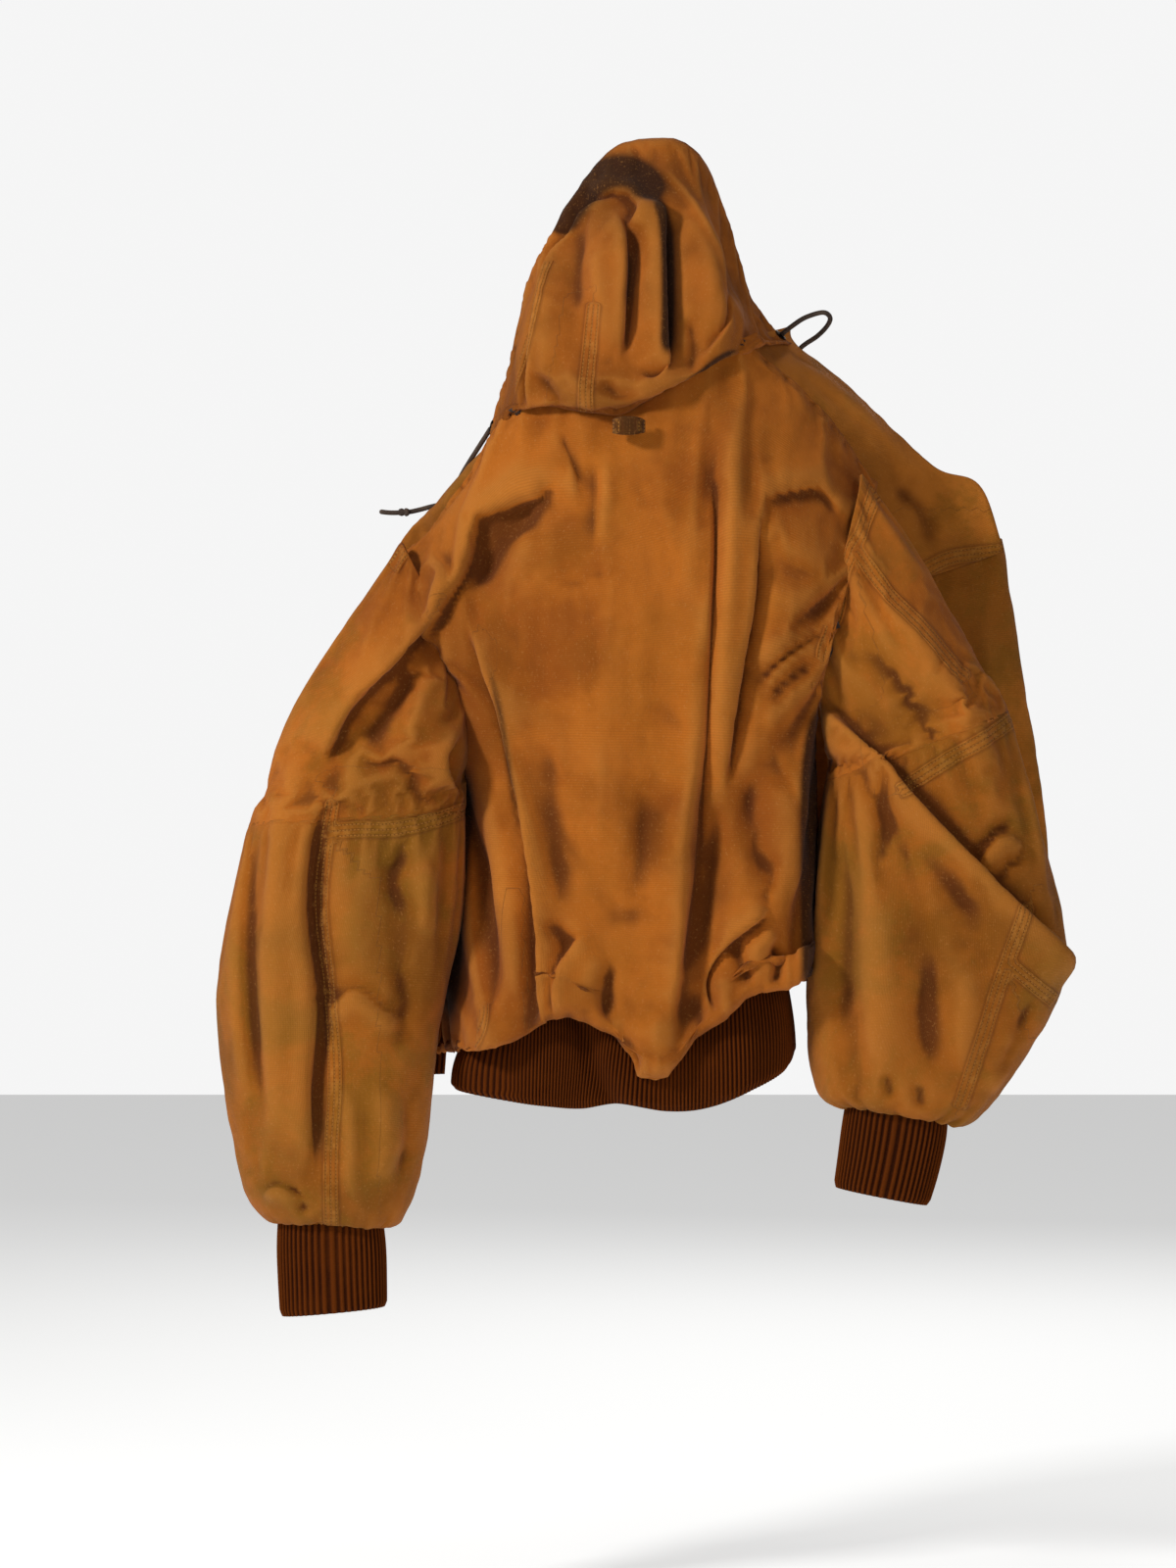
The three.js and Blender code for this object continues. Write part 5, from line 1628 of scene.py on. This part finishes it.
# ---------------------------------------------------------------- stage
class JACKET_OT_stage(bpy.types.Operator):
    """Pale floor, soft lights and the camera"""

    bl_idname = "jacket.stage"
    bl_label = "Stage"

    def execute(self, context):
        scene = context.scene
        cam = bpy.data.cameras.new("camera")
        cam_ob = bpy.data.objects.new("camera", cam)
        scene.collection.objects.link(cam_ob)
        scene.camera = cam_ob
        # 1440 mm of the jacket's plane fills the view's height at a distance of 4.2 m.
        reach = 4.2
        cam.sensor_fit = "VERTICAL"
        cam.sensor_height = 24.0
        cam.lens = 24.0 * reach / 1.44
        cam_ob.location = (-0.072, -reach - 0.06, -0.585)
        cam_ob.rotation_euler = (math.pi / 2, 0, 0)
        cam.clip_start, cam.clip_end = 0.05, 40

        bm = bmesh.new()
        bmesh.ops.create_grid(bm, x_segments=1, y_segments=1, size=7.0)
        bmesh.ops.translate(bm, vec=(0, 0, -1.35), verts=bm.verts)
        mesh = bpy.data.meshes.new("floor")
        bm.to_mesh(mesh)
        bm.free()
        floor = bpy.data.objects.new("floor", mesh)
        scene.collection.objects.link(floor)
        m, t = material("pale_floor")
        grain = add(t, "ShaderNodeTexNoise", Scale=3.0)
        shader = add(t, "ShaderNodeBsdfPrincipled", Roughness=0.9, Emission_Strength=0.5,
                     Emission_Color=(1, 1, 1, 1),
                     Base_Color=mixed(t, grain.outputs[0], linear("f4f4f2"), linear("eeeeec")))
        add(t, "ShaderNodeOutputMaterial", Surface=shader.outputs[0])
        mesh.materials.append(m)

        world = bpy.data.worlds.new("studio")
        scene.world = world
        world.use_nodes = True
        world.node_tree.nodes.clear()
        # The backdrop is seen white, and gives less light than it shows.
        seen = add(world.node_tree, "ShaderNodeLightPath")
        strength = math_node(world.node_tree, "ADD", 0.09, math_node(
            world.node_tree, "MULTIPLY", seen.outputs["Is Camera Ray"], 0.86))
        sky = add(world.node_tree, "ShaderNodeBackground", Color=linear("fbfbfb"), Strength=strength)
        add(world.node_tree, "ShaderNodeOutputWorld", Surface=sky.outputs[0])
        for name, place, power, wide in (
            ("key_light", (-2.2, -1.7, 0.9), 64, 0.45),
            ("fill_light", (1.4, -2.8, 0.2), 11, 0.9),
            ("top_light", (-0.1, -0.7, 1.6), 8, 0.6),
            ("back_light", (0.6, 2.6, 0.9), 26, 1.6),
        ):
            light = bpy.data.lights.new(name, "AREA")
            light.energy, light.size = power, wide
            ob = bpy.data.objects.new(name, light)
            ob.location = place
            aim = Vector((-0.05, -0.05, -0.5)) - Vector(place)
            ob.rotation_euler = aim.to_track_quat("-Z", "Y").to_euler()
            scene.collection.objects.link(ob)
        scene.view_settings.view_transform = "Standard"
        return {"FINISHED"}


class JACKET_PT_panel(bpy.types.Panel):
    """Lists the steps that make the jacket"""

    bl_idname = "JACKET_PT_panel"
    bl_label = "Canvas work jacket"
    bl_space_type = "VIEW_3D"
    bl_region_type = "UI"
    bl_category = "Jacket"

    def draw(self, context):
        for group in (context.scene.jacket_sizes, context.scene.jacket_colours):
            for key in group.__annotations__:
                self.layout.prop(group, key)
        for op in STEPS:
            self.layout.operator(op.bl_idname)


STEPS = (JACKET_OT_stage, JACKET_OT_cords, JACKET_OT_hood, JACKET_OT_back, JACKET_OT_waistband,
         JACKET_OT_yokes, JACKET_OT_loop, JACKET_OT_sleeves, JACKET_OT_cuffs, JACKET_OT_fronts,
         JACKET_OT_eyelets, JACKET_OT_zip)
CLASSES = (JacketSizes, JacketColours, *STEPS, JACKET_PT_panel)


def register():
    for c in CLASSES:
        bpy.utils.register_class(c)
    bpy.types.Scene.jacket_sizes = bpy.props.PointerProperty(type=JacketSizes)
    bpy.types.Scene.jacket_colours = bpy.props.PointerProperty(type=JacketColours)


def unregister():
    del bpy.types.Scene.jacket_colours
    del bpy.types.Scene.jacket_sizes
    for c in reversed(CLASSES):
        bpy.utils.unregister_class(c)


def main():
    register()
    for op in STEPS:
        group, name = op.bl_idname.split(".")
        getattr(getattr(bpy.ops, group), name)()


if __name__ == "__main__":
    main()
